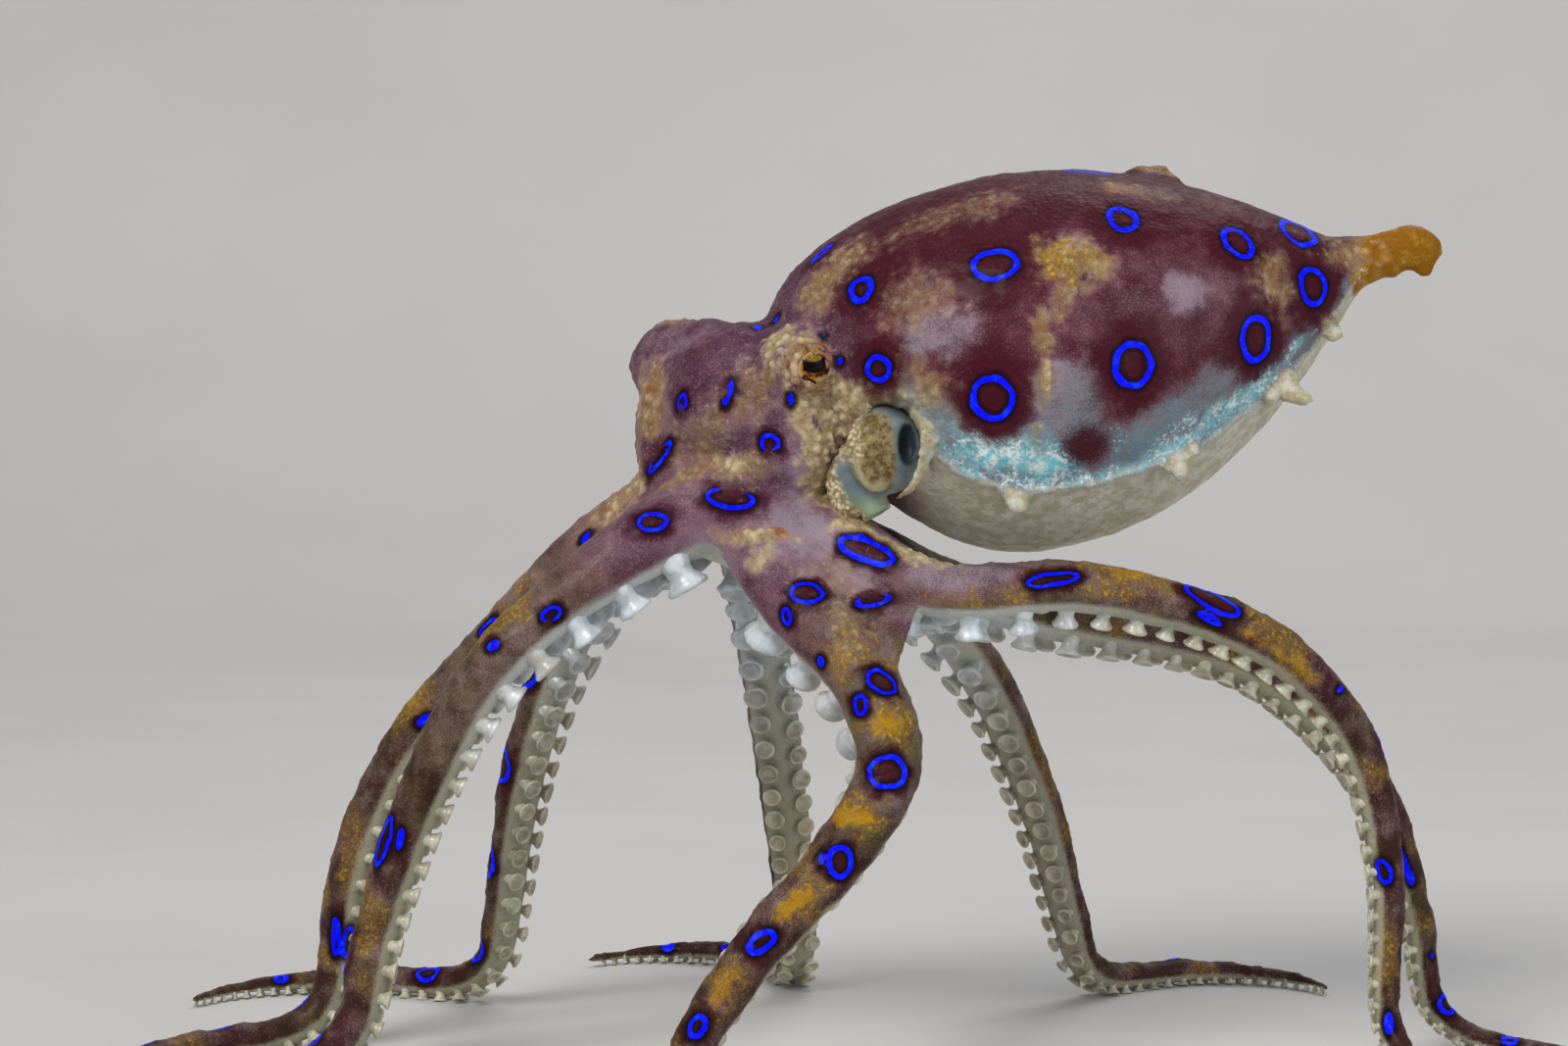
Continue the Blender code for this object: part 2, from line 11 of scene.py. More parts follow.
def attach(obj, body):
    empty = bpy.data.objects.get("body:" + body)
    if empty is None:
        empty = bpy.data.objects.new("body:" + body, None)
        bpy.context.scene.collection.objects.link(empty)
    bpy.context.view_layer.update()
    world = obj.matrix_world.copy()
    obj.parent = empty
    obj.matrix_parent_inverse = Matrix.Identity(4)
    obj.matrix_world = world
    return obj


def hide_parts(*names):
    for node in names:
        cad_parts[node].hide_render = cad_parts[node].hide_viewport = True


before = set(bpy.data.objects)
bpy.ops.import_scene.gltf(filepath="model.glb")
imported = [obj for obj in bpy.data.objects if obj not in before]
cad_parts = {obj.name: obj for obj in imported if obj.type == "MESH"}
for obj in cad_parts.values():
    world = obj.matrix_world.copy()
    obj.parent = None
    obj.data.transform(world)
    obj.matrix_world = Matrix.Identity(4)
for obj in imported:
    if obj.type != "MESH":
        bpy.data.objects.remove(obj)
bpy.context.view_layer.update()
print("frame loaded")

# Shapes are made in millimetres on the animal's own axes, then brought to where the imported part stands
mm = 0.001
stance = Vector((2.46, 0.84, 0.0))
toFrame = Matrix.Translation(stance * mm) @ Matrix.Scale(mm, 4)
upward = Vector((0.0, 0.0, 1.0))

# The camera, in the same millimetres; picture places are pixels of the 1600 x 1067 frame
view = dict(target=Vector((-8.0, 0.0, 41.8)), distance=333.3, elevation=4.0, lens=100.0, sensor=36.0,
            width=1600, height=1067)
viewAxis = Vector((0.0, cos(radians(view["elevation"])), -sin(radians(view["elevation"]))))
viewRight = Vector((1.0, 0.0, 0.0))
viewUp = viewRight.cross(viewAxis)
viewPoint = view["target"] - viewAxis * view["distance"]
pixelSlope = view["sensor"] / view["lens"] / view["width"]


# Mesh tools

def linked(name, data):
    made = bpy.data.objects.new(name, data)
    bpy.context.scene.collection.objects.link(made)
    return made


def makeMesh(name, bm):
    mesh = bpy.data.meshes.new(name)
    bm.to_mesh(mesh)
    bm.free()
    return mesh


def makeObject(name, bm):
    bmesh.ops.recalc_face_normals(bm, faces=bm.faces)
    return linked(name, makeMesh(name, bm))


def placed(middle, x, y, z):
    matrix = Matrix((x, y, z)).transposed().to_4x4()
    matrix.translation = middle
    return matrix


def axesAlong(direction, lean):
    z = direction.normalized()
    y = (lean - z * lean.dot(z)).normalized()
    return y.cross(z), y, z


def mergeInto(bm, part):
    # the operators take as long as the mesh is large, so each piece is made in a small mesh of its own
    mesh = makeMesh("part", part)
    bm.from_mesh(mesh)
    bpy.data.meshes.remove(mesh)


def addEllipsoid(target, middle, radii, forward=Vector((1.0, 0.0, 0.0)), sides=48):
    across = upward.cross(forward)
    a, b, c = radii
    bm = bmesh.new()
    bmesh.ops.create_uvsphere(bm, u_segments=sides, v_segments=sides // 2, radius=1.0,
                              matrix=placed(middle, forward * a, across * b, upward * c))
    mergeInto(target, bm)


def newItems(result, kind):
    return [item for item in result["geom"] if isinstance(item, kind)]


def addLoft(target, rings, sides):
    # a circle extruded from one ring matrix to the next, closed at both ends
    bm = bmesh.new()
    bmesh.ops.create_circle(bm, segments=sides, radius=1.0, matrix=rings[0])
    first = bm.edges[:]
    edges = first
    for before, after in zip(rings, rings[1:]):
        grown = bmesh.ops.extrude_edge_only(bm, edges=edges)
        verts = newItems(grown, bmesh.types.BMVert)
        bmesh.ops.transform(bm, matrix=after @ before.inverted(), verts=verts)
        fresh = set(verts)
        edges = [edge for edge in newItems(grown, bmesh.types.BMEdge) if fresh.issuperset(edge.verts)]
    bmesh.ops.edgeloop_fill(bm, edges=first)
    bmesh.ops.edgeloop_fill(bm, edges=edges)
    mergeInto(target, bm)


def addTorus(target, place, radius, thickness, steps=40):
    ring = Matrix.Translation((radius, 0.0, 0.0)) @ Matrix.Rotation(pi / 2.0, 4, "X")
    bm = bmesh.new()
    bmesh.ops.create_circle(bm, segments=12, radius=thickness, matrix=ring)
    bmesh.ops.spin(bm, geom=bm.verts[:] + bm.edges[:], cent=(0.0, 0.0, 0.0), axis=(0.0, 0.0, 1.0),
                   angle=2.0 * pi, steps=steps, use_merge=True)
    bmesh.ops.transform(bm, matrix=place, verts=bm.verts)
    mergeInto(target, bm)


def applyModifiers(obj):
    bpy.context.view_layer.update()
    graph = bpy.context.evaluated_depsgraph_get()
    mesh = bpy.data.meshes.new_from_object(obj.evaluated_get(graph))
    obj.modifiers.clear()
    obj.data = mesh


def voxelSkin(obj, size):
    remesh = obj.modifiers.new("one skin", "REMESH")
    remesh.mode = "VOXEL"
    remesh.voxel_size = size
    applyModifiers(obj)


def readRows(rows, name, width, kind=np.float32):
    values = np.empty(len(rows) * width, kind)
    rows.foreach_get(name, values)
    return values.reshape(-1, width)


def readPoints(mesh):
    return readRows(mesh.vertices, "co", 3).astype(float)


def readNormals(mesh):
    return readRows(mesh.vertex_normals, "vector", 3).astype(float)


def readEdges(mesh):
    return readRows(mesh.edges, "vertices", 2, np.int32)


def movePoints(mesh, points):
    mesh.vertices.foreach_set("co", points.astype(np.float32).ravel())
    mesh.update()


def relax(points, edges, share, rounds):
    # moves each point towards the middle of its neighbours, in place
    count = np.maximum(np.bincount(edges.ravel(), minlength=len(points)), 1)
    a, b = edges[:, 0], edges[:, 1]
    for _ in range(rounds):
        for axis in range(3):
            column = points[:, axis]
            total = np.bincount(a, column[b], len(points)) + np.bincount(b, column[a], len(points))
            points[:, axis] = column + (total / count - column) * share


def giveFields(mesh, **fields):
    for name, values in fields.items():
        layer = mesh.attributes.new(name, "FLOAT", "POINT")
        layer.data.foreach_set("value", np.asarray(values, np.float32))


def ramp(value, low, high):
    t = np.clip((value - low) / (high - low), 0.0, 1.0)
    return t * t * (3.0 - 2.0 * t)


def fade(value, low, high):
    return 1.0 - ramp(value, low, high)


def grain(points, size, seed=0.0, octaves=3):
    shift = Vector((seed, 2.3 * seed, -1.7 * seed))
    return np.array([noise.fractal(Vector(point) / size + shift, 0.7, 2.0, octaves)
                     for point in points.tolist()])


def granules(points, size, seed=0.0):
    # round bumps that lie close together: 1 at the middle of each, 0 between them
    shift = Vector((seed, -seed, 0.5 * seed))
    near = np.array([noise.voronoi(Vector(point) / size + shift)[0][0] for point in points.tolist()])
    return fade(near, 0.08, 0.55)


# The mantle: an egg-like sac on a straight axis, with its own profile above and below that axis

mantle = dict(front=Vector((-8.9, 1.0, 51.0)), end=Vector((37.4, 0.2, 61.6)), back=13.2, belly=15.8,
              breadth=0.93, backProfile=dict(peak=0.40, front=(2.0, 0.32), rear=(1.9, 1.0)),
              bellyProfile=dict(peak=0.41, front=(2.3, 1.15), rear=(2.2, 1.15)), rings=60, sides=72,
              span=(0.05, 0.94), least=0.4)
mantleLine = mantle["end"] - mantle["front"]
mantleSide, mantleUp, mantleAxis = axesAlong(mantleLine, upward)

# The tail papilla: how finely it's made, and its sections as distance behind the mantle's end, rise, half
# height and half width
tailShape = dict(rings=34, sides=24)
tailSections = [(-5.0, 0.1, 3.2, 2.5), (-2.4, 0.4, 2.3, 1.7), (-0.4, 0.6, 1.8, 1.25), (1.2, 0.75, 1.65, 1.15),
                (2.8, 0.65, 1.85, 1.2), (4.1, 0.4, 1.45, 1.0), (4.9, 0.25, 0.65, 0.45)]
# Bumps under it: distance behind the mantle's end, rise and radius
tailBumps = [(0.9, -0.75, 0.62), (3.3, -1.15, 0.72)]

# Papillae: share of the mantle's length, degrees from the back down the flank, height, radius, lean aft
flankPapillae = [(0.345, 128, 2.3, 1.2, 0.0), (0.60, 132, 2.5, 1.25, 0.2), (0.63, 131, 1.5, 0.9, 0.3),
                 (0.77, 134, 1.4, 0.9, 0.3), (0.795, 136, 2.9, 1.15, 0.7), (0.89, 131, 2.0, 0.9, 0.5)]
backPapillae = [(0.655, -4, 0.75, 1.6, 0.0), (0.687, -5, 1.25, 1.4, 0.0), (0.505, 58, 0.7, 1.9, 0.0),
                (0.505, -58, 0.7, 1.9, 0.0)]
# The outline of each: share of its height, share of its radius
papillaOutline = [(-0.7, 1.25), (0.0, 1.0), (0.25, 0.72), (0.45, 0.58), (0.65, 0.54), (0.82, 0.5),
                  (0.94, 0.36), (1.0, 0.14)]


def swell(share, peak, front, rear):
    away = 1.0 - share / peak if share < peak else (share - peak) / (1.0 - peak)
    power, root = front if share < peak else rear
    return (1.0 - min(1.0, away) ** power) ** root


def mantleSection(share):
    above = mantle["back"] * swell(share, **mantle["backProfile"])
    below = mantle["belly"] * swell(share, **mantle["bellyProfile"])
    half = (above + below) / 2.0
    middle = mantle["front"] + mantleLine * share + mantleUp * (above - below) / 2.0
    return middle, half, half * mantle["breadth"]


def mantlePlaces(points):
    # share of the length, degrees from the back, and distance from the axis against the sac's own surface
    shares = np.linspace(0.0, 1.0, 240)
    table = [((middle - mantle["front"]).dot(mantleUp), height, width)
             for middle, height, width in map(mantleSection, shares)]
    offset = points - np.array(mantle["front"])
    share = offset @ np.array(mantleAxis) / mantleLine.length
    lift, height, width = (np.interp(share, shares, column) for column in zip(*table))
    y = (offset @ np.array(mantleUp) - lift) / np.maximum(height, mantle["least"])
    x = offset @ np.array(mantleSide) / np.maximum(width, mantle["least"])
    return share, np.degrees(np.arctan2(np.abs(x), y)), np.hypot(x, y)


def addPapilla(bm, share, angle, height, radius, lean):
    middle, halfHeight, halfWidth = mantleSection(share)
    up = mantleUp * cos(radians(angle))
    side = -mantleSide * sin(radians(angle))
    foot = middle + up * halfHeight + side * halfWidth
    outward = (up / halfHeight + side / halfWidth).normalized()
    rings = []
    for rise, girth in papillaOutline:
        point = foot + outward * height * rise + mantleAxis * lean * height * max(rise, 0.0) ** 2
        x, y, z = axesAlong(outward + mantleAxis * lean * max(rise, 0.0), mantleAxis)
        rings.append(placed(point, x * radius * girth, y * radius * girth, z))
    addLoft(bm, rings, 16)


def addMantle(bm):
    # the rings lie closer together towards both ends
    first, rest = mantle["span"]
    rings = []
    for i in range(mantle["rings"]):
        share = 0.5 - 0.5 * cos(pi * (first + rest * i / (mantle["rings"] - 1)))
        middle, height, width = mantleSection(share)
        rings.append(placed(middle, mantleSide * width, mantleUp * height, mantleAxis))
    addLoft(bm, rings, mantle["sides"])
    tail = np.array(tailSections)
    along = np.linspace(0.0, len(tail) - 1.0, tailShape["rings"])
    sizes = np.stack([np.interp(along, range(len(tail)), column) for column in tail.T], axis=1)
    addLoft(bm, [placed(mantle["end"] + mantleAxis * behind + mantleUp * rise, mantleSide * width,
                        mantleUp * height, mantleAxis) for behind, rise, height, width in sizes.tolist()],
            tailShape["sides"])
    for behind, rise, radius in tailBumps:
        addEllipsoid(bm, mantle["end"] + mantleAxis * behind + mantleUp * rise, [radius] * 3, sides=20)
    for share, angle, *rest in flankPapillae:
        addPapilla(bm, share, angle, *rest)
        addPapilla(bm, share, -angle, *rest)
    for sizes in backPapillae:
        addPapilla(bm, *sizes)


# The head, with an orbit and a lid round each eye

sideAxis = Vector((-0.70, 0.71, 0.0)).normalized()
head = dict(core=(Vector((-11.0, 0.0, 51.2)), (6.8, 6.2, 6.0)),
            brow=(Vector((-15.3, 2.2, 48.6)), (4.2, 4.3, 7.0)),
            cheek=(Vector((-7.6, -3.4, 48.6)), (4.4, 4.2, 5.2)),
            saddle=(Vector((-13.6, 2.6, 53.4)), (4.0, 3.4, 4.1)))
orbits = {"left": (Vector((-6.6, -4.9, 53.9)), Vector((0.22, -0.975, 0.02)).normalized(), 3.4),
          "right": (Vector((-16.1, 4.6, 53.6)), Vector((-0.72, 0.69, 0.03)).normalized(), 3.8)}
eye = dict(radius=1.8, depth=1.15, lidRadius=1.42, lidThickness=0.36, lidDepth=0.02)


def addHead(bm):
    for middle, radii in head.values():
        addEllipsoid(bm, middle, radii, sideAxis)
    for middle, gaze, radius in orbits.values():
        addEllipsoid(bm, middle, [radius] * 3, sideAxis)
        x, y, z = axesAlong(gaze, upward)
        addTorus(bm, placed(middle + gaze * (radius - eye["lidDepth"]), x, y, z), eye["lidRadius"],
                 eye["lidThickness"])


# The arms

crown = dict(middle=Vector((-10.4, 0.4, 43.4)), radii=(7.4, 6.8, 5.0), mouth=Vector((-10.2, 0.3, 38.6)),
             mouthRadius=1.6, lip=0.62)
web = dict(start=1.5, width=0.94, thickness=0.85, bulge=0.9, steps=(24, 18))
armShape = dict(root=2.2, web=(10.5, 10.5, 0.42), grip=Vector((-4.0, 5.0, 14.0)), floorLevel=(2.5, 9.0),
                touchdown=4.5, suppleness=0.22, tightening=1.6, tip=0.34, taper=2.3, flare=1.1,
                flareReach=9.0, flatness=0.9, step=0.5, sides=24, spacing=0.9)
# The routes run from the root to where the arm leaves the picture or the other arms hide it. Heading and
# turn, in degrees, say how it goes on from there along the floor. The web to the next arm has its reach along
# both arms and how far its edge draws back between them
arms = {
    "armRight1": dict(heading=200, turn=105, length=84, root=2.2, web=(10.5, 10.5, 0.35), route=[
        (-14.6, 1.4, 44.4), (-23.4, 4.6, 39.3), (-32.5, 6.5, 30.0), (-38.5, 7.0, 22.5), (-42.0, 6.0, 14.0),
        (-43.2, 6.0, 6.0)]),
    "armLeft1": dict(heading=228, turn=100, length=83, root=2.3, web=(11.0, 8.5, 0.62), route=[
        (-14.0, -2.2, 43.2), (-22.0, -5.0, 38.4), (-30.0, -6.0, 31.5), (-35.0, -5.0, 22.5),
        (-38.5, -4.5, 13.0), (-40.0, -6.0, 6.0)]),
    "armLeft2": dict(heading=222, turn=120, length=82, root=3.0, flare=0.3, taper=1.2,
                     web=(18.0, 11.2, -0.03), route=[
        (-10.2, -3.4, 41.4), (-6.6, -8.6, 36.2), (-2.0, -12.6, 31.0), (-0.4, -15.2, 24.5),
        (-4.5, -17.0, 18.0), (-9.5, -18.5, 12.6), (-14.0, -20.0, 6.5)]),
    "armLeft3": dict(heading=300, turn=-100, length=90, root=2.15, web=(10.5, 10.5, 0.42), route=[
        (-6.8, -3.2, 41.8), (3.5, -8.4, 37.4), (14.5, -8.5, 37.6), (27.0, -7.0, 34.0), (35.0, -4.0, 26.5),
        (38.0, -2.5, 16.0), (38.0, -3.0, 6.0)]),
    "armLeft4": dict(heading=345, turn=-75, length=86, route=[
        (-5.8, 1.2, 41.0), (3.5, 3.2, 37.0), (12.0, 4.5, 34.5), (28.0, 6.0, 30.5), (38.0, 6.5, 21.0),
        (41.5, 6.0, 11.0), (42.3, 6.0, 6.0)]),
    "armRight4": dict(heading=58, turn=-150, length=80, route=[
        (-6.8, 3.6, 41.2), (1.0, 11.0, 37.0), (8.0, 18.0, 28.5), (13.0, 23.0, 17.0), (16.0, 26.0, 6.0)]),
    "armRight3": dict(heading=92, turn=150, length=78, route=[
        (-10.2, 4.6, 41.4), (-10.6, 14.0, 38.0), (-9.6, 22.0, 29.0), (-8.0, 27.0, 17.0), (-7.0, 29.5, 6.0)]),
    "armRight2": dict(heading=140, turn=120, length=80, route=[
        (-13.4, 3.8, 42.2), (-19.5, 10.0, 39.0), (-25.5, 16.0, 31.0), (-29.5, 21.0, 19.0),
        (-31.5, 24.0, 6.0)]),
}
sucker = dict(width=0.44, leastWidth=0.2, height=0.34, least=0.34, spread=0.45, lean=0.30, root=0.3,
              plant=0.84, soleDepth=0.15, first=4.5, bareTip=0.8, spacing=(0.34, 0.40), closest=0.55,
              sides=14, variation=(0.88, 1.08), large=(16.0, 30.0), largeWidth=0.12, largeHeight=0.26,
              largeStep=0.7)


def smoothPoints(points, step):
    knots = [points[0] * 2.0 - points[1]] + points + [points[-1] * 2.0 - points[-2]]
    found = []
    for a, b, c, d in zip(knots, knots[1:], knots[2:], knots[3:]):
        count = max(1, round((c - b).length / step))
        for i in range(count):
            t = i / count
            found.append(0.5 * (2.0 * b + (c - a) * t + (2.0 * a - 5.0 * b + 4.0 * c - d) * t ** 2
                                + (3.0 * b - a - 3.0 * c + d) * t ** 3))
    return found + [points[-1]]


class Arm:
    def __init__(self, name, heading, turn, length, route, root=armShape["root"], web=armShape["web"],
                 flare=armShape["flare"], taper=armShape["taper"]):
        self.name = name
        self.length = length
        self.root = root
        self.web = web
        self.flare = flare
        self.taper = taper
        self.points = smoothPoints([Vector(point) for point in route], armShape["step"])
        self.lieDown(radians(heading), radians(turn))
        self.tangents = [(b - a).normalized() for a, b in zip(self.points, self.points[1:])]
        self.tangents.append(self.tangents[-1])
        self.faceSuckers()

    def radius(self, s):
        share = min(1.0, max(0.0, s / self.length))
        flare = self.flare * exp(-(max(s, 0.0) / armShape["flareReach"]) ** 2)
        return armShape["tip"] + (self.root - armShape["tip"]) * (1.0 - share ** self.taper) + flare

    def restHeight(self, s):
        radius = self.radius(s)
        standing = max(radius * sucker["height"], sucker["least"]) * 0.9 - sucker["soleDepth"]
        return radius * armShape["flatness"] + standing

    def lieDown(self, heading, turn):
        # carries the line on to its full length, down to the floor and along it
        step = armShape["step"]
        s = sum((b - a).length for a, b in zip(self.points, self.points[1:]))
        direction = (self.points[-1] - self.points[-2]).normalized()
        start = s
        while s < self.length:
            share = (s - start) / (self.length - start)
            bearing = heading + turn * share ** armShape["tightening"]
            fall = (self.points[-1].z - self.restHeight(s)) / armShape["touchdown"]
            fall = min(1.0, max(-1.0, fall))
            level = (1.0 - fall * fall) ** 0.5
            aim = Vector((cos(bearing) * level, sin(bearing) * level, -fall))
            direction = direction.lerp(aim, armShape["suppleness"]).normalized()
            self.points.append(self.points[-1] + direction * step)
            s += step

    def faceSuckers(self):
        # the suckers face the place that the arms grip, and the floor where the arm lies on it
        self.inward = []
        facing = armShape["grip"] - self.points[0]
        for point, tangent in zip(self.points, self.tangents):
            down = float(fade(point.z, *armShape["floorLevel"]))
            aim = (armShape["grip"] - point).normalized().lerp(Vector((0.0, 0.0, -1.0)), down)
            aim = aim - tangent * aim.dot(tangent)
            facing = facing - tangent * facing.dot(tangent)
            facing = (facing.normalized() + aim * armShape["suppleness"]).normalized()
            self.inward.append(facing)

    def at(self, s):
        place = min(max(s / armShape["step"], 0.0), len(self.points) - 1.001)
        i = int(place)
        point = self.points[i].lerp(self.points[i + 1], place - i)
        tangent = self.tangents[i].lerp(self.tangents[i + 1], place - i).normalized()
        facing = self.inward[i].lerp(self.inward[i + 1], place - i)
        return point, tangent, (facing - tangent * facing.dot(tangent)).normalized()

    def ring(self, s):
        point, tangent, facing = self.at(s)
        radius = self.radius(s)
        return placed(point, tangent.cross(facing) * radius, facing * radius * armShape["flatness"], tangent)

    def addTo(self, bm):
        count = round(self.length / armShape["spacing"])
        rings = [self.ring(self.length * i / count) for i in range(count + 1)]
        addLoft(bm, rings, armShape["sides"])


limbs = [Arm(name, **sizes) for name, sizes in arms.items()]


def addWeb(bm, first, second):
    reachA, reachB, scallop = first.web
    sheet = bmesh.new()
    bmesh.ops.create_grid(sheet, x_segments=web["steps"][0], y_segments=web["steps"][1], size=0.5)
    for vert in sheet.verts:
        across = 0.5 + vert.co.x * web["width"]
        middle = 4.0 * across * (1.0 - across)
        down = (vert.co.y + 0.5) * (1.0 - scallop * middle)
        pointA, _, facingA = first.at(web["start"] + down * (reachA - web["start"]))
        pointB, _, facingB = second.at(web["start"] + down * (reachB - web["start"]))
        outward = -facingA.lerp(facingB, across).normalized()
        vert.co = pointA.lerp(pointB, across) + outward * web["bulge"] * middle
    skinFold = makeObject("web", sheet)
    wall = skinFold.modifiers.new("wall", "SOLIDIFY")
    wall.thickness = web["thickness"]
    wall.offset = 0.0
    applyModifiers(skinFold)
    bm.from_mesh(skinFold.data)
    bpy.data.objects.remove(skinFold)


def addCrown(bm):
    addEllipsoid(bm, crown["middle"], crown["radii"])
    addTorus(bm, Matrix.Translation(crown["mouth"]), crown["mouthRadius"], crown["lip"])
    for limb, following in zip(limbs, limbs[1:] + limbs[:1]):
        limb.addTo(bm)
        addWeb(bm, limb, following)


# The lip of the mantle opening, behind the siphon
mantleLip = dict(route=[(1.9, -10.0, 50.9), (2.6, -10.6, 49.4), (2.5, -10.6, 48.0), (2.2, -10.2, 46.6),
                        (1.5, -9.5, 45.2), (0.4, -8.4, 44.2)], radius=0.45)
lipLine = smoothPoints([Vector(point) for point in mantleLip["route"]], 0.4)


def addTube(bm, line, girth, sides):
    last = len(line) - 1
    rings = []
    for i, point in enumerate(line):
        x, y, z = axesAlong(line[min(i + 1, last)] - line[max(i - 1, 0)], Vector((0.0, 1.0, 0.0)))
        rings.append(placed(point, x * girth(i), y * girth(i), z))
    addLoft(bm, rings, sides)


def addMantleLip(bm):
    last = len(lipLine) - 1
    addTube(bm, lipLine, lambda i: mantleLip["radius"] * (0.4 + 0.6 * sin(pi * i / last) ** 0.5), 12)


# One skin over mantle, head, crown and arms

skinShape = dict(voxel=0.33, quickVoxel=0.6, faces=196000, headReach=(11.0, 17.0), headRounds=22,
                 headShare=0.5, lidReach=(2.2, 3.4), lidShare=0.08, bodyRounds=3, bodyShare=0.35,
                 turned=(-0.35, 0.0), hiddenWeight=1000.0)


def distance(points, place):
    return np.linalg.norm(points - np.array(place), axis=1)


def keepShape(points):
    # how much of the smoothing each point takes: most round the head, little on the lids
    soft = fade(distance(points, head["core"][0]), *skinShape["headReach"])
    least = skinShape["lidShare"]
    for place, gaze, radius in orbits.values():
        soft *= least + (1.0 - least) * ramp(distance(points, place + gaze * radius), *skinShape["lidReach"])
    return soft


def thinOut(obj, faces):
    # takes faces away where the camera doesn't see them
    mesh = obj.data
    seen = readNormals(mesh) @ np.array(-viewAxis)
    hidden = fade(seen, *skinShape["turned"])
    group = obj.vertex_groups.new(name="hidden")
    for i in np.nonzero(hidden > 0.01)[0].tolist():
        group.add([i], float(hidden[i]), "REPLACE")
    count = sum(len(face.vertices) - 2 for face in mesh.polygons)
    if count <= faces:
        return
    thin = obj.modifiers.new("thin", "DECIMATE")
    thin.ratio = faces / count
    thin.vertex_group = "hidden"
    thin.vertex_group_factor = skinShape["hiddenWeight"]
    applyModifiers(obj)
    obj.vertex_groups.clear()


flesh = bmesh.new()
addMantle(flesh)
addMantleLip(flesh)
addHead(flesh)
addCrown(flesh)
skin = makeObject("skin", flesh)
voxelSkin(skin, skinShape["voxel"])
points = readPoints(skin.data)
edges = readEdges(skin.data)
soft = keepShape(points)
relax(points, edges, soft * skinShape["headShare"], skinShape["headRounds"])
relax(points, edges, skinShape["bodyShare"], skinShape["bodyRounds"])
movePoints(skin.data, points)
print("skin joined:", len(skin.data.polygons), "faces")
thinOut(skin, skinShape["faces"])
print("skin thinned:", len(skin.data.polygons), "faces")


# Where things lie on the skin

siphon = dict(middle=Vector((-0.5, -7.6, 47.8)), radii=(2.9, 2.1, 3.4), base=Vector((-3.0, -5.5, 45.3)),
              baseRadii=(1.8, 1.5, 3.0), hollow=Vector((1.3, -9.8, 48.4)),
              hollowRadii=(0.8, 1.7, 1.7), lobe=Vector((-1.35, -9.05, 47.4)), lobeRadii=(1.35, 1.1, 2.7),
              route=[Vector((-2.2, -5.8, 46.4)), Vector((-1.9, -6.4, 44.6)), Vector((-0.9, -6.8, 42.9))],
              spout=1.45, bore=0.8, taper=0.11, room=-0.1, roomFrom=-1.6, roomAhead=-1.7, shoulder=1.28,
              lipReach=(0.5, 0.8), voxel=0.2, softness=0.4, softRounds=4,
              frillEdge=((42.8, 43.6, 45.2, 46.4, 47.7), (-1.6, -2.9, -3.75, -4.05, -4.4)))


def pressRoom(points, middle, radii):
    # pushes the skin inside an ellipsoid back to its far wall, which leaves a pocket with soft edges
    radii = np.array(radii) + siphon["room"]
    offset = (points - np.array(middle)) / radii
    flat = np.hypot(offset[:, 0], offset[:, 2])
    wall = middle[1] + np.sqrt(np.maximum(0.0, 1.0 - flat ** 2)) * radii[1]
    amount = fade(flat, 1.0, siphon["shoulder"])
    ahead = (points[:, 1] < wall) & (offset[:, 1] > siphon["roomAhead"])
    amount *= (points[:, 0] > siphon["roomFrom"]) & ahead
    for place in lipLine:
        amount *= ramp(distance(points, place), *siphon["lipReach"])
    points[:, 1] += (wall - points[:, 1]) * amount


points = readPoints(skin.data)
pressRoom(points, siphon["middle"], siphon["radii"])
pressRoom(points, siphon["lobe"], siphon["lobeRadii"])
movePoints(skin.data, points)
normals = readNormals(skin.data)
mantleShare, mantleAngle, mantleOut = mantlePlaces(points)

armTree = kdtree.KDTree(sum(len(limb.points) for limb in limbs))
armPlaces = []
for number, limb in enumerate(limbs):
    for i, point in enumerate(limb.points):
        armTree.insert(point, len(armPlaces))
        armPlaces.append((number, i * armShape["step"], limb.radius(i * armShape["step"])))
armTree.balance()
armPlaces = np.array(armPlaces)
armCentres = np.array([point for limb in limbs for point in limb.points])
armInward = np.array([facing for limb in limbs for facing in limb.inward])
nearest = np.array([armTree.find(point)[1] for point in points.tolist()])
armAlong = armPlaces[nearest, 1]
armRadius = armPlaces[nearest, 2]
radial = points - armCentres[nearest]
armAway = np.linalg.norm(radial, axis=1)
sideways = np.einsum("ij,ij->i", radial, armInward[nearest]) / np.maximum(armAway, 1e-6)
# Where each part of the skin begins and ends: millimetres, or shares of the arm's or the mantle's own radius
# and of the mantle's length
reach = dict(armGirth=(1.25, 1.9), arm=(6.0, 16.0), outer=(14.0, 34.0), mantleGirth=(0.3, 0.7),
             mantle=(0.12, 0.24), tail=(0.955, 1.0), lip=(0.45, 0.75), head=(9.0, 16.0), crown=(41.0, 47.0),
             underside=(39.5, 42.0), lid=(1.75, 2.2), orbit=(1.8, 3.4), fleck=(-0.15, 0.25))
onArm = fade(armAway / armRadius, *reach["armGirth"]) * ramp(armAlong, *reach["arm"])
print("skin placed")

skinTree = BVHTree.FromPolygons(points.tolist(), [tuple(face.vertices) for face in skin.data.polygons])


def pick(x, y):
    # the skin's point under a pixel, or the nearest pixel round it that shows skin
    for reach in range(0, 40, 2):
        for turn in range(8 if reach else 1):
            px = x + reach * cos(turn * pi / 4.0)
            py = y + reach * sin(turn * pi / 4.0)
            slope = viewRight * (px - view["width"] / 2.0) + viewUp * (view["height"] / 2.0 - py)
            ray = (viewAxis + slope * pixelSlope).normalized()
            place, normal, _, depth = skinTree.ray_cast(viewPoint, ray)
            if place is not None:
                return place, normal, depth * pixelSlope
    raise ValueError(f"no skin near pixel {x}, {y}")


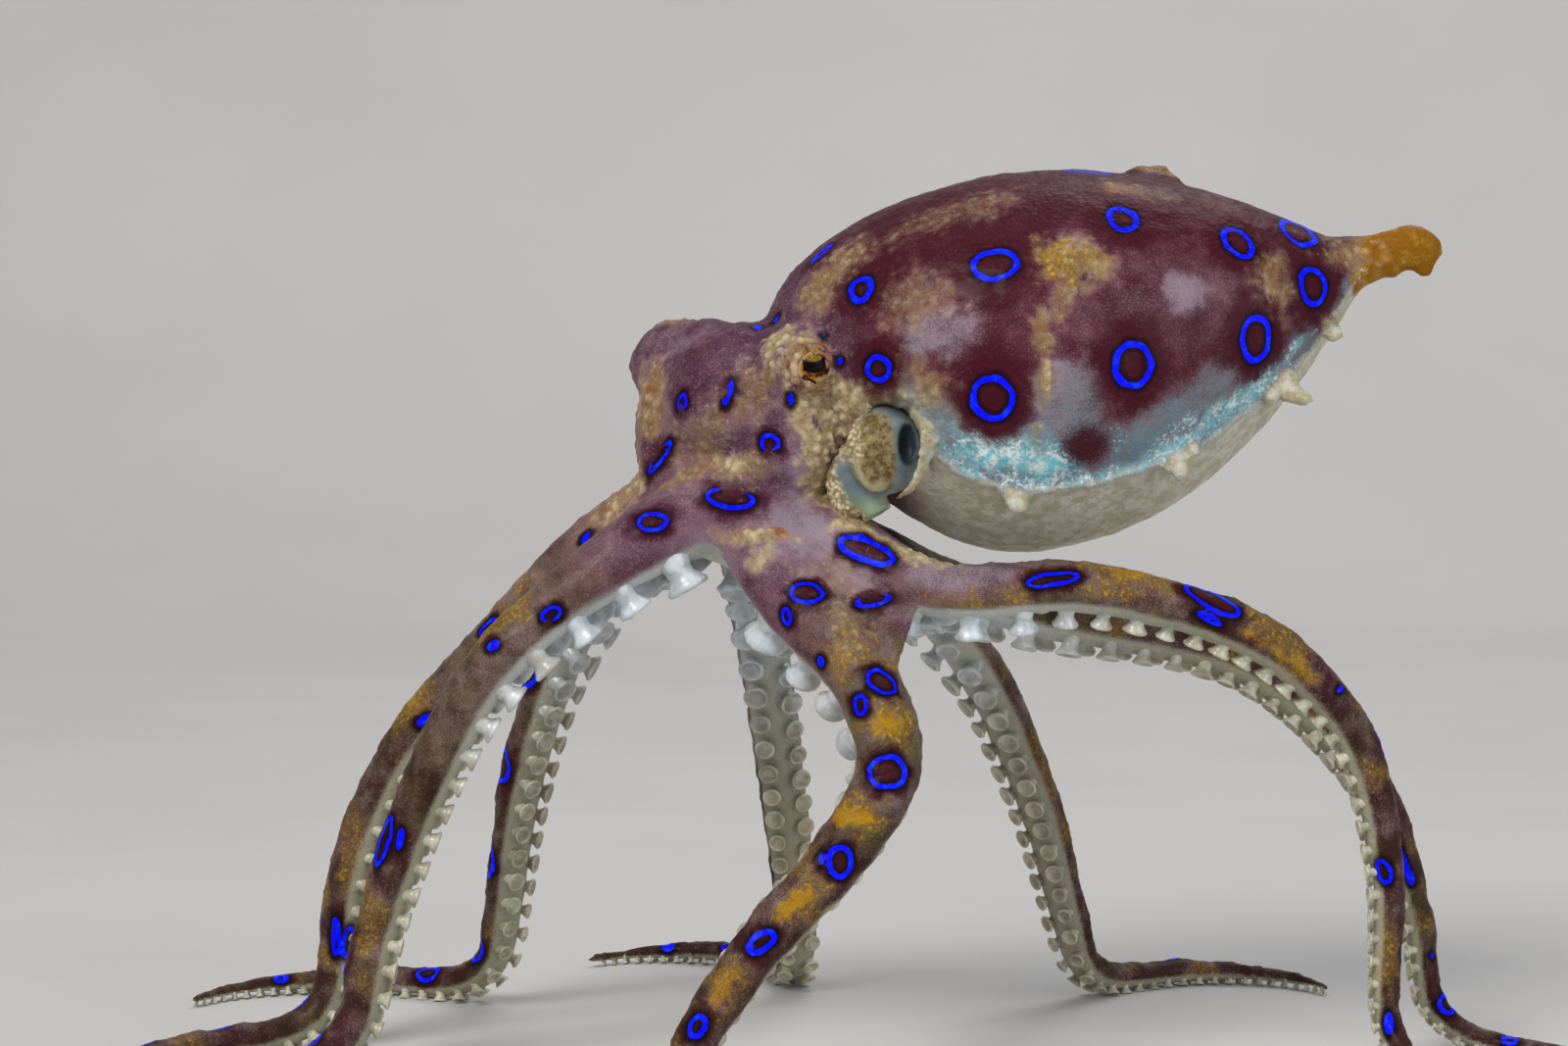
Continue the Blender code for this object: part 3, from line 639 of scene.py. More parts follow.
class Spot:
    # an ellipse that lies on the skin
    def seen(self, x, y, width, height, tilt=0.0, leastSlant=0.45):
        # sizes are in pixels as the camera sees them, tilt is in degrees
        place, normal, scale = pick(x, y)
        turn = radians(tilt)
        seen = [(viewRight * cos(turn) + viewUp * sin(turn), width),
                (viewUp * cos(turn) - viewRight * sin(turn), height)]
        flat = [direction - normal * direction.dot(normal) for direction, _ in seen]
        self.halves = [size / 2.0 * scale / max(leastSlant, along.length)
                       for along, (_, size) in zip(flat, seen)]
        self.place = place
        self.normal = normal
        self.across = flat[0].normalized()
        self.upright = normal.cross(self.across)
        return self

    def laid(self, place, along, halves):
        # sizes are in millimetres, the second one along the given direction
        self.place, self.normal, _, _ = skinTree.find_nearest(place)
        self.upright = (along - self.normal * along.dot(self.normal)).normalized()
        self.across = self.upright.cross(self.normal)
        self.halves = halves
        return self

    def turnedAway(self, least=0.05):
        return self.normal.dot(viewAxis) > least

    def mirrored(self, origin, axis, size=1.0):
        def flip(vector):
            return vector - axis * 2.0 * vector.dot(axis)
        twin = Spot()
        moved = origin + flip(self.place - origin)
        twin.place, twin.normal, _, _ = skinTree.find_nearest(moved)
        across = flip(self.across)
        twin.across = (across - twin.normal * across.dot(twin.normal)).normalized()
        twin.upright = twin.normal.cross(twin.across)
        twin.halves = [half * size for half in self.halves]
        return twin

    def near(self, margin):
        # the skin's points round the spot, with their distance from its outline and their bearing
        reach = max(self.halves) + margin
        offset = points - np.array(self.place)
        close = (np.abs(offset) < reach).all(axis=1) & (normals @ np.array(self.normal) > -0.3)
        found = np.nonzero(close)[0]
        offset = offset[found]
        x = offset @ np.array(self.across)
        y = offset @ np.array(self.upright)
        wrap = np.linalg.norm(offset, axis=1) / np.maximum(np.hypot(x, y), 1e-4)
        x = x * wrap
        y = y * wrap
        a, b = self.halves
        rho = np.maximum(np.hypot(x / a, y / b), 1e-3)
        slope = np.maximum(np.hypot(x / a ** 2, y / b ** 2) / rho, 1e-3)
        away = np.maximum((rho - 1.0) / slope, -min(a, b))
        return found, away, np.arctan2(y / b, x / a)


mantlePlane = dict(origin=mantle["front"], axis=mantleSide)
headPlane = dict(origin=(orbits["left"][0] + orbits["right"][0]) / 2.0, axis=sideAxis)

# Rings: picture x, y, width, height in pixels, tilt, then the line's width in mm and any opening in degrees
bodyRings = [
    (878, 295, 29, 25, 25, 0.42), (1015, 270, 51, 34, 3, 0.44), (1146, 223, 36, 26, -15, 0.42),
    (1263, 247, 40, 28, -50, 0.42), (1325, 236, 43, 24, -28, 0.40), (1340, 293, 31, 41, 8, 0.42),
    (1282, 346, 34, 50, -4, 0.48), (1156, 372, 43, 49, 0, 0.46), (1013, 406, 45, 47, 0, 0.46),
    (896, 376, 26, 29, -10, 0.40), (838, 259, 30, 6, 32, 0.36), (1110, 175, 50, 8, 0, 0.36)]
headRings = [
    (785, 452, 22, 20, 0, 0.32, (235, 305)), (742, 401, 9, 28, -18, 0.28, (120, 230)),
    (696, 411, 10, 21, -14, 0.28, (250, 330)), (672, 467, 43, 11, 44, 0.28, (40, 130)),
    (745, 508, 52, 24, -8, 0.34, (35, 130)), (666, 532, 34, 20, 3, 0.30)]
azureSpots = [(857, 368, 5, 10, 0), (807, 407, 7, 14, 0), (840, 342, 4, 4, 0), (773, 335, 10, 6, 10),
              (792, 326, 6, 5, 0)]
armRings = [
    (598, 548, 15, 6, 45, 0.26), (562, 627, 24, 16, 30, 0.26, (200, 260)),
    (498, 640, 26, 12, 35, 0.30, (180, 260)), (504, 659, 15, 9, 30, 0.30), (432, 734, 18, 8, 45, 0.30),
    (392, 858, 10, 56, -17, 0.34), (408, 856, 8, 24, -12, 0.34), (343, 956, 10, 42, 0, 0.34),
    (355, 961, 11, 34, -8, 0.34), (824, 604, 38, 22, -5, 0.28), (802, 629, 11, 20, 15, 0.30),
    (837, 675, 7, 12, 0, 0.30), (901, 695, 36, 21, -20, 0.28), (878, 719, 14, 23, 0, 0.28),
    (905, 787, 42, 36, 5, 0.36), (838, 876, 5, 14, 0, 0.30), (857, 879, 28, 36, 0, 0.42),
    (777, 961, 35, 22, 35, 0.46), (711, 1047, 21, 27, -30, 0.42), (884, 561, 62, 26, -28, 0.46),
    (891, 612, 38, 14, 12, 0.34, (30, 150)), (1074, 591, 56, 15, 12, 0.30), (1238, 611, 66, 19, -27, 0.34),
    (1234, 631, 30, 9, -28, 0.26), (1368, 703, 10, 6, 20, 0.34), (1412, 889, 16, 28, 20, 0.34),
    (1433, 882, 8, 37, 20, 0.34), (1417, 1044, 9, 23, 0, 0.38), (1440, 897, 8, 14, 0, 0.34),
    (1462, 975, 5, 7, 0, 0.34)]
# Rings worked out along each arm for the faces that the picture doesn't show: how far from the root the first
# lies, the step between two, degrees off the arm's outer side, and size against the arm's radius
armRow = dict(first=15.0, step=4.6, crowding=(0.45, 0.55), turn=42.0, size=0.86, breadth=0.8, least=0.42,
              line=0.36, lineShare=0.6, clear=1.4, end=0.93,
              seen=("armRight1", "armLeft1", "armLeft2", "armLeft3"), seenAbove=5.0, slant=0.35)
ringLook = dict(none=6.0, wobble=0.16, wobbleSize=1.3, steady=1.2, margin=5.0, bodyHalo=2.7, headHalo=1.6,
                armHalo=1.4, wideHalo=1.4, gapEdge=0.25, spotLine=0.16, spotHalo=0.7)

ringAway = np.full(len(points), ringLook["none"])
ringLine = np.zeros(len(points))
ringShade = np.zeros(len(points))
ringWobble = grain(points, ringLook["wobbleSize"], 3.1, 2) * ringLook["wobble"]


def drawRing(spot, line, halo, gap=None, filled=False):
    # the picture's size is the ring's outer edge; a filled spot has no hole
    found, away, bearing = spot.near(ringLook["margin"])
    size = min(spot.halves)
    away = away + line / 2.0 + ringWobble[found] * min(1.0, size / ringLook["steady"])
    if filled:
        away = np.maximum(away, 0.0)
    half = np.full(len(found), line / 2.0)
    if gap:
        middle = radians(sum(gap) / 2.0)
        width = radians(gap[1] - gap[0]) / 2.0
        apart = np.abs((bearing - middle + pi) % (2.0 * pi) - pi)
        half *= ramp(apart, width - ringLook["gapEdge"], width + ringLook["gapEdge"])
    halo *= 0.5 + 0.5 * min(1.0, size / ringLook["wideHalo"])
    ringShade[found] = np.maximum(ringShade[found], fade(away + ringWobble[found] * 3.0, -0.2, halo))
    nearer = away < ringAway[found]
    ringAway[found[nearer]] = away[nearer]
    ringLine[found[nearer]] = half[nearer]


for rows, plane, halo in ((bodyRings, mantlePlane, "bodyHalo"), (headRings, headPlane, "headHalo"),
                          (armRings, None, "armHalo")):
    for x, y, width, height, tilt, line, *gap in rows:
        spot = Spot().seen(x, y, width, height, tilt)
        drawRing(spot, line, ringLook[halo], *gap)
        twin = spot.mirrored(**plane) if plane else spot
        if twin.turnedAway():
            drawRing(twin, line, ringLook[halo], *gap)
for x, y, width, height, tilt in azureSpots:
    drawRing(Spot().seen(x, y, width, height, tilt), ringLook["spotLine"], ringLook["spotHalo"], filled=True)
for limb in limbs:
    s = armRow["first"]
    side = 1.0
    while s < limb.length * armRow["end"]:
        middle, tangent, facing = limb.at(s)
        turn = radians(armRow["turn"]) * side
        outward = tangent.cross(facing) * sin(turn) - facing * cos(turn)
        radius = limb.radius(s)
        half = max(armRow["least"], radius * armRow["size"])
        spot = Spot().laid(middle + outward * radius, tangent, (half * armRow["breadth"], half))
        found, away, _ = spot.near(armRow["clear"])
        free = ringAway[found[away < armRow["clear"]]].min(initial=ringLook["none"]) > armRow["clear"]
        inPicture = limb.name in armRow["seen"] and middle.z > armRow["seenAbove"]
        if free and not (inPicture and not spot.turnedAway(armRow["slant"])):
            drawRing(spot, min(armRow["line"], half * armRow["lineShare"]), ringLook["armHalo"])
        even, thinner = armRow["crowding"]
        s += armRow["step"] * (even + thinner * radius / limb.root)
        side = -side
print("rings drawn")

# Patches of one colour each: picture x, y, width, height, tilt and strength
patches = dict(
    tan=[(968, 218, 150, 28, 16, 0.65), (850, 278, 100, 40, 42, 0.9), (935, 305, 84, 60, 0, 0.6),
        (1095, 262, 84, 52, -5, 1.0), (1082, 300, 24, 60, 0, 0.7), (1063, 340, 20, 60, 6, 0.85),
        (1066, 392, 20, 60, -6, 0.6), (1056, 448, 16, 26, 10, 0.7), (1160, 194, 90, 18, -8, 0.7),
        (1303, 286, 44, 70, 20, 0.95), (934, 402, 64, 60, 0, 0.9), (885, 420, 90, 34, 0, 1.0),
        (735, 420, 44, 130, -38, 0.6), (640, 492, 130, 28, 44, 0.8), (700, 455, 50, 60, -30, 0.5),
        (705, 482, 90, 20, 16, 0.7), (663, 410, 36, 84, 0, 0.9), (770, 545, 90, 20, -10, 0.6),
        (845, 590, 60, 30, -30, 0.5), (1366, 256, 90, 34, 8, 0.95), (768, 402, 46, 84, -38, 0.7),
        (755, 478, 70, 44, 0, 0.6), (600, 545, 60, 30, 44, 0.6), (1240, 205, 60, 20, -20, 0.3)],
    # lilac: mostly the skin's own lilac and blue-grey patches; the ones at 1209, 299 and 690, 352 are painted
    # highlights, a pale shine on the mantle and on the head
    lilac=[(960, 338, 76, 44, 10, 0.9), (1209, 299, 50, 42, 0, 1.0), (1112, 325, 70, 46, 0, 0.25),
        (1180, 305, 220, 130, 15, 0.34), (985, 583, 120, 30, 4, 0.8), (1120, 570, 80, 10, -4, 0.6),
        (1090, 418, 66, 104, 0, 1.0), (1235, 395, 84, 40, 25, 0.8), (690, 352, 70, 50, 0, 0.4),
        (820, 545, 90, 60, -20, 0.8), (1190, 428, 80, 36, 20, 1.0), (950, 430, 60, 50, 0, 0.8),
        (815, 495, 50, 90, 0, 0.6), (858, 590, 90, 50, 0, 0.5), (735, 565, 120, 26, -10, 0.5)],
    cream=[(812, 362, 50, 60, 0, 0.8), (850, 425, 60, 34, -25, 1.0), (836, 475, 36, 90, 10, 0.9),
        (868, 525, 30, 80, 35, 1.0), (925, 562, 110, 16, -28, 0.8), (1068, 385, 6, 40, 0, 1.0),
        (1058, 440, 10, 16, 0, 1.0), (942, 452, 7, 44, -8, 1.0), (933, 482, 8, 36, -14, 1.0),
        (920, 504, 26, 8, 20, 1.0), (792, 346, 40, 36, 0, 0.9), (846, 396, 64, 34, 0, 1.0),
        (822, 412, 30, 34, 0, 1.0), (872, 412, 54, 28, -20, 1.0), (774, 570, 34, 26, 0, 0.6),
        (652, 412, 26, 50, 0, 0.3), (752, 472, 44, 24, 0, 0.6), (908, 411, 60, 24, 0, 0.6),
        (776, 546, 80, 14, -4, 0.6), (868, 632, 44, 60, 0, 0.4), (640, 505, 80, 18, 44, 0.5)],
    gold=[(1078, 262, 46, 42, 0, 0.9), (1112, 262, 34, 26, 0, 0.5), (866, 656, 64, 70, 0, 0.55),
        (915, 735, 44, 50, 0, 0.9), (880, 830, 50, 44, 30, 0.9), (820, 922, 70, 40, 40, 1.0),
        (740, 1000, 60, 60, 40, 0.7), (1150, 576, 110, 26, -4, 1.0), (1310, 652, 110, 34, -40, 1.0),
        (416, 718, 30, 60, -20, 0.9), (362, 885, 36, 70, 0, 0.9), (1400, 970, 30, 90, 0, 0.9)],
    heart=[(906, 738, 34, 22, 0, 0.7), (867, 834, 42, 20, -10, 0.95), (808, 924, 52, 18, 34, 0.95),
        (738, 1008, 22, 50, -34, 0.7), (856, 668, 30, 50, 0, 0.4), (1155, 583, 44, 14, 0, 0.7),
        (1290, 658, 70, 14, -34, 0.65), (1332, 686, 46, 12, -44, 0.65), (1072, 262, 26, 26, 0, 0.5),
        (418, 712, 14, 34, -20, 0.5)],
    dark=[(1105, 455, 40, 34, 0, 1.0)],
    # glow: where the painted sheen brightens into an aqua glow
    glow=[(1035, 468, 120, 46, -4, 1.0), (985, 468, 70, 44, 0, 0.9), (1112, 494, 70, 22, 8, 0.8),
        (1180, 470, 90, 24, 28, 0.8), (1235, 430, 90, 26, 34, 0.8), (1280, 398, 60, 24, 38, 0.7),
        (1330, 340, 70, 12, 50, 0.5)],
    frill=[(846, 450, 26, 66, 0, 1.0), (852, 505, 20, 56, 35, 0.9), (800, 352, 40, 40, 0, 0.5)])
# How soft and how ragged their edges are
patchEdges = dict(tan=(0.8, 0.6), lilac=(0.95, 0.35), cream=(0.6, 0.6), gold=(0.9, 0.8), heart=(0.9, 0.8),
                  dark=(1.0, 0.2), frill=(0.6, 0.5), glow=(1.0, 0.6))
# A patch above this height has a twin on the other side, smaller on the head than on the mantle
twinRule = dict(above=44.0, mantleFrom=-4.0, headSize=0.7, reach=3.0)
edgeGrain = grain(points, 1.1, 5.7, 3)


def patchField(kind):
    softness, ragged = patchEdges[kind]
    shares = np.zeros(len(points))
    for x, y, width, height, tilt, strength in patches[kind]:
        spot = Spot().seen(x, y, width, height, tilt)
        twins = [spot]
        if spot.place.z > twinRule["above"]:
            onBody = spot.place.x > twinRule["mantleFrom"]
            plane, size = (mantlePlane, 1.0) if onBody else (headPlane, twinRule["headSize"])
            twin = spot.mirrored(**plane, size=size)
            twins += [twin] if twin.turnedAway() else []
        for twin in twins:
            found, away, _ = twin.near(twinRule["reach"])
            amount = fade(away / min(twin.halves) + edgeGrain[found] * ragged, -softness, softness)
            shares[found] = np.maximum(shares[found], amount * strength)
    return shares


tan, lilac, cream, gold, heart, dark, frill, glow = (patchField(kind) for kind in patchEdges)

# The keel is the raised edge along the flank, and the painted sheen lies above it: degrees from the back
keel = dict(shares=(0.22, 0.24, 0.27, 0.34, 0.44, 0.52, 0.60, 0.69, 0.80, 0.86, 0.90, 0.93, 0.97),
            angles=(100, 116, 122, 127, 130, 132, 134, 136, 137, 136, 130, 117, 105), reach=2.2, height=0.30,
            wander=1.6, start=(0.20, 0.25))
onMantle = fade(np.abs(mantleOut - 1.0), *reach["mantleGirth"]) * ramp(mantleShare, *reach["mantle"])
onMantle *= 1.0 - onArm
flankWave = grain(points, 5.0, 9.2, 3)
fromKeel = mantleAngle + flankWave * keel["wander"] - np.interp(mantleShare, keel["shares"], keel["angles"])
ridge = onMantle * np.exp(-(fromKeel / keel["reach"]) ** 2) * ramp(mantleShare, *keel["start"])
belly = onMantle * ramp(fromKeel, -2.0, 3.0)
sheen = onMantle * ramp(fromKeel + flankWave * 6.0, -30.0, -7.0) * fade(fromKeel, -1.5, 2.0)
sheen *= 0.6 + 0.4 * ramp(grain(points, 3.2, 7.3, 2), -0.3, 0.2)
tail = mantleShare + 0.012 * grain(points, 1.5, 2.0, 2) + 0.035 * ramp(mantleAngle, 60.0, 110.0)
tail = ramp(tail, *reach["tail"]) * (1.0 - onArm)
crest = ramp(mantleOut, 1.02, 1.06) * fade(mantleAngle, 20.0, 40.0)
crest *= ramp(mantleShare, 0.56, 0.60) * fade(mantleShare, 0.76, 0.80)
tan = np.maximum(tan, crest)
bumps = ramp(mantleOut, 1.03, 1.10) * ramp(mantleAngle, 112.0, 124.0) * ramp(mantleShare, 0.27, 0.30)
bumps *= fade(mantleShare, 0.95, 0.97) * (1.0 - onArm)
flank = onMantle * ramp(fromKeel, -52.0, -28.0)
sheen *= (1.0 - bumps) * (1.0 - dark) * (1.0 - ringShade)
# The pale lip, the undersides that carry the suckers, and gold along the arms
lip = np.zeros(len(points))
for place in lipLine:
    lip = np.maximum(lip, fade(distance(points, place), *reach["lip"]))
lip *= ramp(-normals[:, 1], 0.0, 0.3)
oral = onArm * ramp(sideways, 0.10, 0.42)
underCrown = (1.0 - onMantle) * ramp(-normals[:, 2], 0.4, 0.7) * fade(points[:, 2], *reach["underside"])
oral = np.maximum(oral, underCrown)
offRings = 1.0 - ringShade
armGold = onArm * (1.0 - oral) * ramp(grain(points, 4.5, 12.1, 2), 0.05, 0.45) * offRings * (1.0 - lilac)
gold = np.maximum.reduce([gold * (1.0 - 0.8 * ringShade), armGold * 0.7, tail * offRings])
mottlingFine = grain(points, 0.9, 33.0, 2)
onHead = fade(distance(points, head["core"][0]), *reach["head"])

# Small orange flecks: picture x, y, width and height in pixels
orangeFlecks = [(663, 396, 9, 7), (796, 542, 13, 10)]
lidShade = np.zeros(len(points))
orbitShade = np.zeros(len(points))
for place, gaze, radius in orbits.values():
    rim = distance(points, place + gaze * (radius - eye["depth"]))
    lidShade = np.maximum(lidShade, fade(rim + 0.3 * mottlingFine, *reach["lid"]))
    orbitShade = np.maximum(orbitShade, fade(rim + 0.9 * mottlingFine, *reach["orbit"]))
for x, y, width, height in orangeFlecks:
    found, away, _ = Spot().seen(x, y, width, height).near(1.0)
    lidShade[found] = np.maximum(lidShade[found], fade(away + 0.2 * mottlingFine[found], *reach["fleck"]))
# pale: the papillae, the mantle lip and the lowest belly, which is paler partly in its own colour and partly
# as painted light that lifts the shade beneath it
pale = np.maximum.reduce([bumps, lip, 0.6 * belly * ramp(mantleAngle, 142.0, 172.0)])
onCrown = (1.0 - onMantle) * fade(points[:, 2], *reach["crown"])

# How densely the dark pigment lies, from 0 for bare skin to 1 where its cells meet
mottling = grain(points, 2.2, 15.0, 3)
pigment = 0.71 + 0.18 * mottling + 0.14 * grain(points, 6.0, 21.0, 2) - 0.08 * onHead
pigment += 0.24 * onMantle * fade(mantleAngle, 20.0, 60.0)
pigment -= 0.24 * onCrown
pigment -= 0.50 * lilac + 0.56 * tan + 0.3 * cream
pigment += (0.36 + 0.30 * mottling + 0.36 * ramp(armAlong, 16.0, 40.0) - pigment) * onArm
pigment += (0.08 + 0.26 * onArm - pigment) * np.maximum(cream, gold) * 0.9
pigment -= 0.22 * heart * onArm
# what it comes to where other things lie over it
for level, share in ((0.04, np.maximum.reduce([belly, bumps, lip])), (0.06, np.minimum(1.0, sheen * 1.3)),
                     (1.05, ringShade), (0.12, lidShade), (0.0, oral), (1.05, dark)):
    pigment += (level - pigment) * share
giveFields(skin.data, pigment=pigment, tan=tan, lilac=lilac, cream=cream, pale=pale, gold=gold,
           heart=heart * offRings, flank=flank, belly=belly, sheen=sheen, glow=glow, tail=tail, ridge=ridge,
           arm=onArm, oral=oral, outer=ramp(armAlong, *reach["outer"]),
           head=np.maximum(onHead, onCrown) * (1.0 - onArm), ringAway=ringAway, ringLine=ringLine,
           ringShade=ringShade, lid=lidShade, orbit=orbitShade)

# Relief: granules on the head and round the eye, soft unevenness elsewhere
relief = dict(granule=0.75, granuleHeight=0.22, unevenSize=3.0, uneven=0.10, fineSize=1.1, fine=0.045,
              floor=0.02)
rough = np.clip(cream + 0.6 * tan + 0.35 * onArm * (1.0 - oral) + 0.35 * onHead, 0.0, 1.0) + 1.2 * frill
beads = granules(points, relief["granule"], 2.0)
beaded = np.clip(cream + frill + 0.5 * tan, 0.0, 1.0)
giveFields(skin.data, grainTop=beads * beaded, grainGap=(1.0 - beads) * beaded)
height = beads * rough * relief["granuleHeight"]
height += grain(points, relief["unevenSize"], 4.0, 2) * relief["uneven"] * (1.0 + 0.9 * onArm * (1.0 - oral))
height += grain(points, relief["fineSize"], 6.0, 2) * relief["fine"]
height += ridge * keel["height"] * (1.0 + 0.8 * grain(points, 1.0, 8.0, 2))
points += normals * height[:, None]
points[:, 2] = np.maximum(points[:, 2], relief["floor"])
movePoints(skin.data, points)
skin.data.shade_smooth()
print("skin finished")


# The suckers: two staggered rows of cups along each arm, out to its tip

def cupShape():
    # one cup of unit rim radius on a stalk of unit height, as a profile turned round +Z
    bm = bmesh.new()
    profile = [(0.74, -0.30), (0.74, 0.32), (0.62, 0.50), (0.60, 0.62), (0.82, 0.80), (1.0, 0.90),
               (0.95, 0.99), (0.84, 1.0), (0.68, 0.88), (0.46, 0.72), (0.24, 0.66), (0.0, 0.64)]
    verts = [bm.verts.new((radius, 0.0, rise)) for radius, rise in profile]
    line = [bm.edges.new(pair) for pair in zip(verts, verts[1:])]
    bmesh.ops.spin(bm, geom=verts + line, cent=(0.0, 0.0, 0.0), axis=(0.0, 0.0, 1.0), angle=2.0 * pi,
                   steps=sucker["sides"], use_merge=True)
    bmesh.ops.remove_doubles(bm, verts=bm.verts, dist=1e-4)
    bmesh.ops.recalc_face_normals(bm, faces=bm.faces)
    if bm.calc_volume(signed=True) < 0.0:
        bmesh.ops.reverse_faces(bm, faces=bm.faces)
    return makeMesh("cup", bm)


def addSuckers(bm, cup, limb):
    chance = random.Random(limb.name)
    s = sucker["first"]
    side = 1
    while s < limb.length - sucker["bareTip"]:
        radius = limb.radius(s)
        large = float(fade(s, *sucker["large"]))
        size = max(radius * (sucker["width"] + sucker["largeWidth"] * large), sucker["leastWidth"])
        size *= chance.uniform(*sucker["variation"])
        point, tangent, facing = limb.at(s)
        across = tangent.cross(facing) * side
        outward = (facing + across * sucker["lean"]).normalized()
        depth = max(radius * (sucker["height"] + sucker["largeHeight"] * large), sucker["least"])
        depth += radius * (armShape["flatness"] - sucker["root"]) * sucker["plant"]
        foot = point + across * radius * sucker["spread"] + facing * radius * sucker["root"]
        x, y, z = axesAlong(outward, tangent)
        standing = cup.copy()
        standing.transform(placed(foot, x * size, y * size, z * depth))
        bm.from_mesh(standing)
        bpy.data.meshes.remove(standing)
        s += max(sucker["closest"], sucker["spacing"][0] + sucker["spacing"][1] * radius)
        s += sucker["largeStep"] * large
        side = -side


cups = bmesh.new()
cup = cupShape()
for limb in limbs:
    addSuckers(cups, cup, limb)
for vert in cups.verts:
    vert.co.z = max(vert.co.z, 0.0)
# each cup keeps the normals of the first one, as working them out for all at once turns some inside out
suckers = linked("suckers", makeMesh("suckers", cups))
cupAlong = np.array([armPlaces[armTree.find(point)[1], 1] for point in readPoints(suckers.data).tolist()])
giveFields(suckers.data, outer=ramp(cupAlong, *reach["outer"]))
suckers.data.shade_smooth()
print("suckers made:", len(suckers.data.polygons), "faces")


# The siphon

def addSpout(bm, radius, extra):
    route = siphon["route"]
    route = route[:-1] + [route[-1] + (route[-1] - route[-2]).normalized() * extra]
    addTube(bm, route, lambda i: radius * (1.0 - siphon["taper"] * i), 24)


def cutWith(obj, cutter):
    cut = obj.modifiers.new("hollow", "BOOLEAN")
    cut.operation = "DIFFERENCE"
    cut.object = cutter
    applyModifiers(obj)
    bpy.data.objects.remove(cutter)


tube = bmesh.new()
addEllipsoid(tube, siphon["middle"], siphon["radii"])
addEllipsoid(tube, siphon["lobe"], siphon["lobeRadii"], sides=36)
addEllipsoid(tube, siphon["base"], siphon["baseRadii"], sides=36)
addSpout(tube, siphon["spout"], 0.0)
funnel = makeObject("siphonTube", tube)
voxelSkin(funnel, siphon["voxel"])
hollow = bmesh.new()
addEllipsoid(hollow, siphon["hollow"], siphon["hollowRadii"], sides=40)
cutWith(funnel, makeObject("hollowCutter", hollow))
bore = bmesh.new()
addSpout(bore, siphon["bore"], 1.0)
cutWith(funnel, makeObject("boreCutter", bore))
voxelSkin(funnel, siphon["voxel"])
tubePoints = readPoints(funnel.data)
relax(tubePoints, readEdges(funnel.data), siphon["softness"], siphon["softRounds"])
movePoints(funnel.data, tubePoints)
lobeOffset, hollowOffset = ((tubePoints - np.array(siphon[name])) / np.array(siphon[name + "Radii"])
                            for name in ("lobe", "hollow"))
lobeAway = np.linalg.norm(lobeOffset, axis=1)
# the granular collar lies on the upper left, and in a narrow strip down the left edge
collar = ramp(-tubePoints[:, 0] + 0.5 * grain(tubePoints, 0.9, 3.0, 2), 2.0, 2.7)
collar *= ramp(tubePoints[:, 2], 46.4, 47.6)
frillEdge = np.interp(tubePoints[:, 2], *siphon["frillEdge"]) - tubePoints[:, 0]
collar = np.maximum(collar, ramp(frillEdge + 0.2 * grain(tubePoints, 0.6, 4.0, 2), -0.1, 0.25))
aside, _, above = lobeOffset.T
lobeEdge = ramp(np.hypot(aside, above), 0.62, 0.9) * ramp(-0.55 * aside - 0.83 * above, 0.0, 0.5)
# hollow marks the opening's recess, which the siphon's material paints dark as painted shade
giveFields(funnel.data, lobe=fade(lobeAway, 1.15, 1.5), lobeRim=lobeEdge * fade(lobeAway, 1.1, 1.3),
           hollow=fade(np.linalg.norm(hollowOffset, axis=1), 1.0, 1.2), collar=collar,
           mouth=fade(tubePoints[:, 2], 43.0, 45.2))
tubePoints += readNormals(funnel.data) * (granules(tubePoints, 0.8, 5.0) * collar * 0.2)[:, None]
movePoints(funnel.data, tubePoints)
funnel.data.shade_smooth()
print("siphon made")


# The eyes

def makeEye(side):
    middle, gaze, radius = orbits[side]
    bm = bmesh.new()
    x, y, z = axesAlong(gaze, upward)
    place = placed(middle + gaze * (radius - eye["depth"]), x, y, z)
    bmesh.ops.create_uvsphere(bm, u_segments=64, v_segments=40, radius=eye["radius"])
    flat = [tuple(vert.co) for vert in bm.verts]
    bmesh.ops.transform(bm, matrix=place, verts=bm.verts)
    ball = makeObject("eye" + side.capitalize(), bm)
    across, rise, _ = np.array(flat).T
    giveFields(ball.data, eyeAcross=across, eyeRise=rise)
    ball.data.shade_smooth()
    return ball


eyes = {side: makeEye(side) for side in orbits}
print("eyes made")


# Materials

def paints(**colours):
    # colours as the screen shows them, from 0 to 255, as Blender's own linear colours
    def linear(level):
        share = level / 255.0
        return share / 12.92 if share < 0.04045 else ((share + 0.055) / 1.055) ** 2.4
    return {name: (*map(linear, levels), 1.0) for name, levels in colours.items()}


def addNode(tree, kind, inputs=None, **settings):
    made = tree.nodes.new(kind)
    for name, value in settings.items():
        setattr(made, name, value)
    for name, value in (inputs or {}).items():
        if isinstance(value, bpy.types.NodeSocket):
            tree.links.new(value, made.inputs[name])
        else:
            made.inputs[name].default_value = value
    return made


def field(tree, name):
    return addNode(tree, "ShaderNodeAttribute", attribute_name=name).outputs["Fac"]


def maths(tree, operation, first, second=0.0, clamp=False):
    made = addNode(tree, "ShaderNodeMath", {0: first, 1: second}, operation=operation, use_clamp=clamp)
    return made.outputs[0]


def times(tree, first, second):
    return maths(tree, "MULTIPLY", first, second)


def plus(tree, first, second, clamp=False):
    return maths(tree, "ADD", first, second, clamp)


def minus(tree, first, second):
    return maths(tree, "SUBTRACT", first, second)


def mixed(tree, amount, first, second):
    made = addNode(tree, "ShaderNodeMix", {0: amount, 6: first, 7: second}, data_type="RGBA",
                   clamp_factor=True)
    return made.outputs[2]


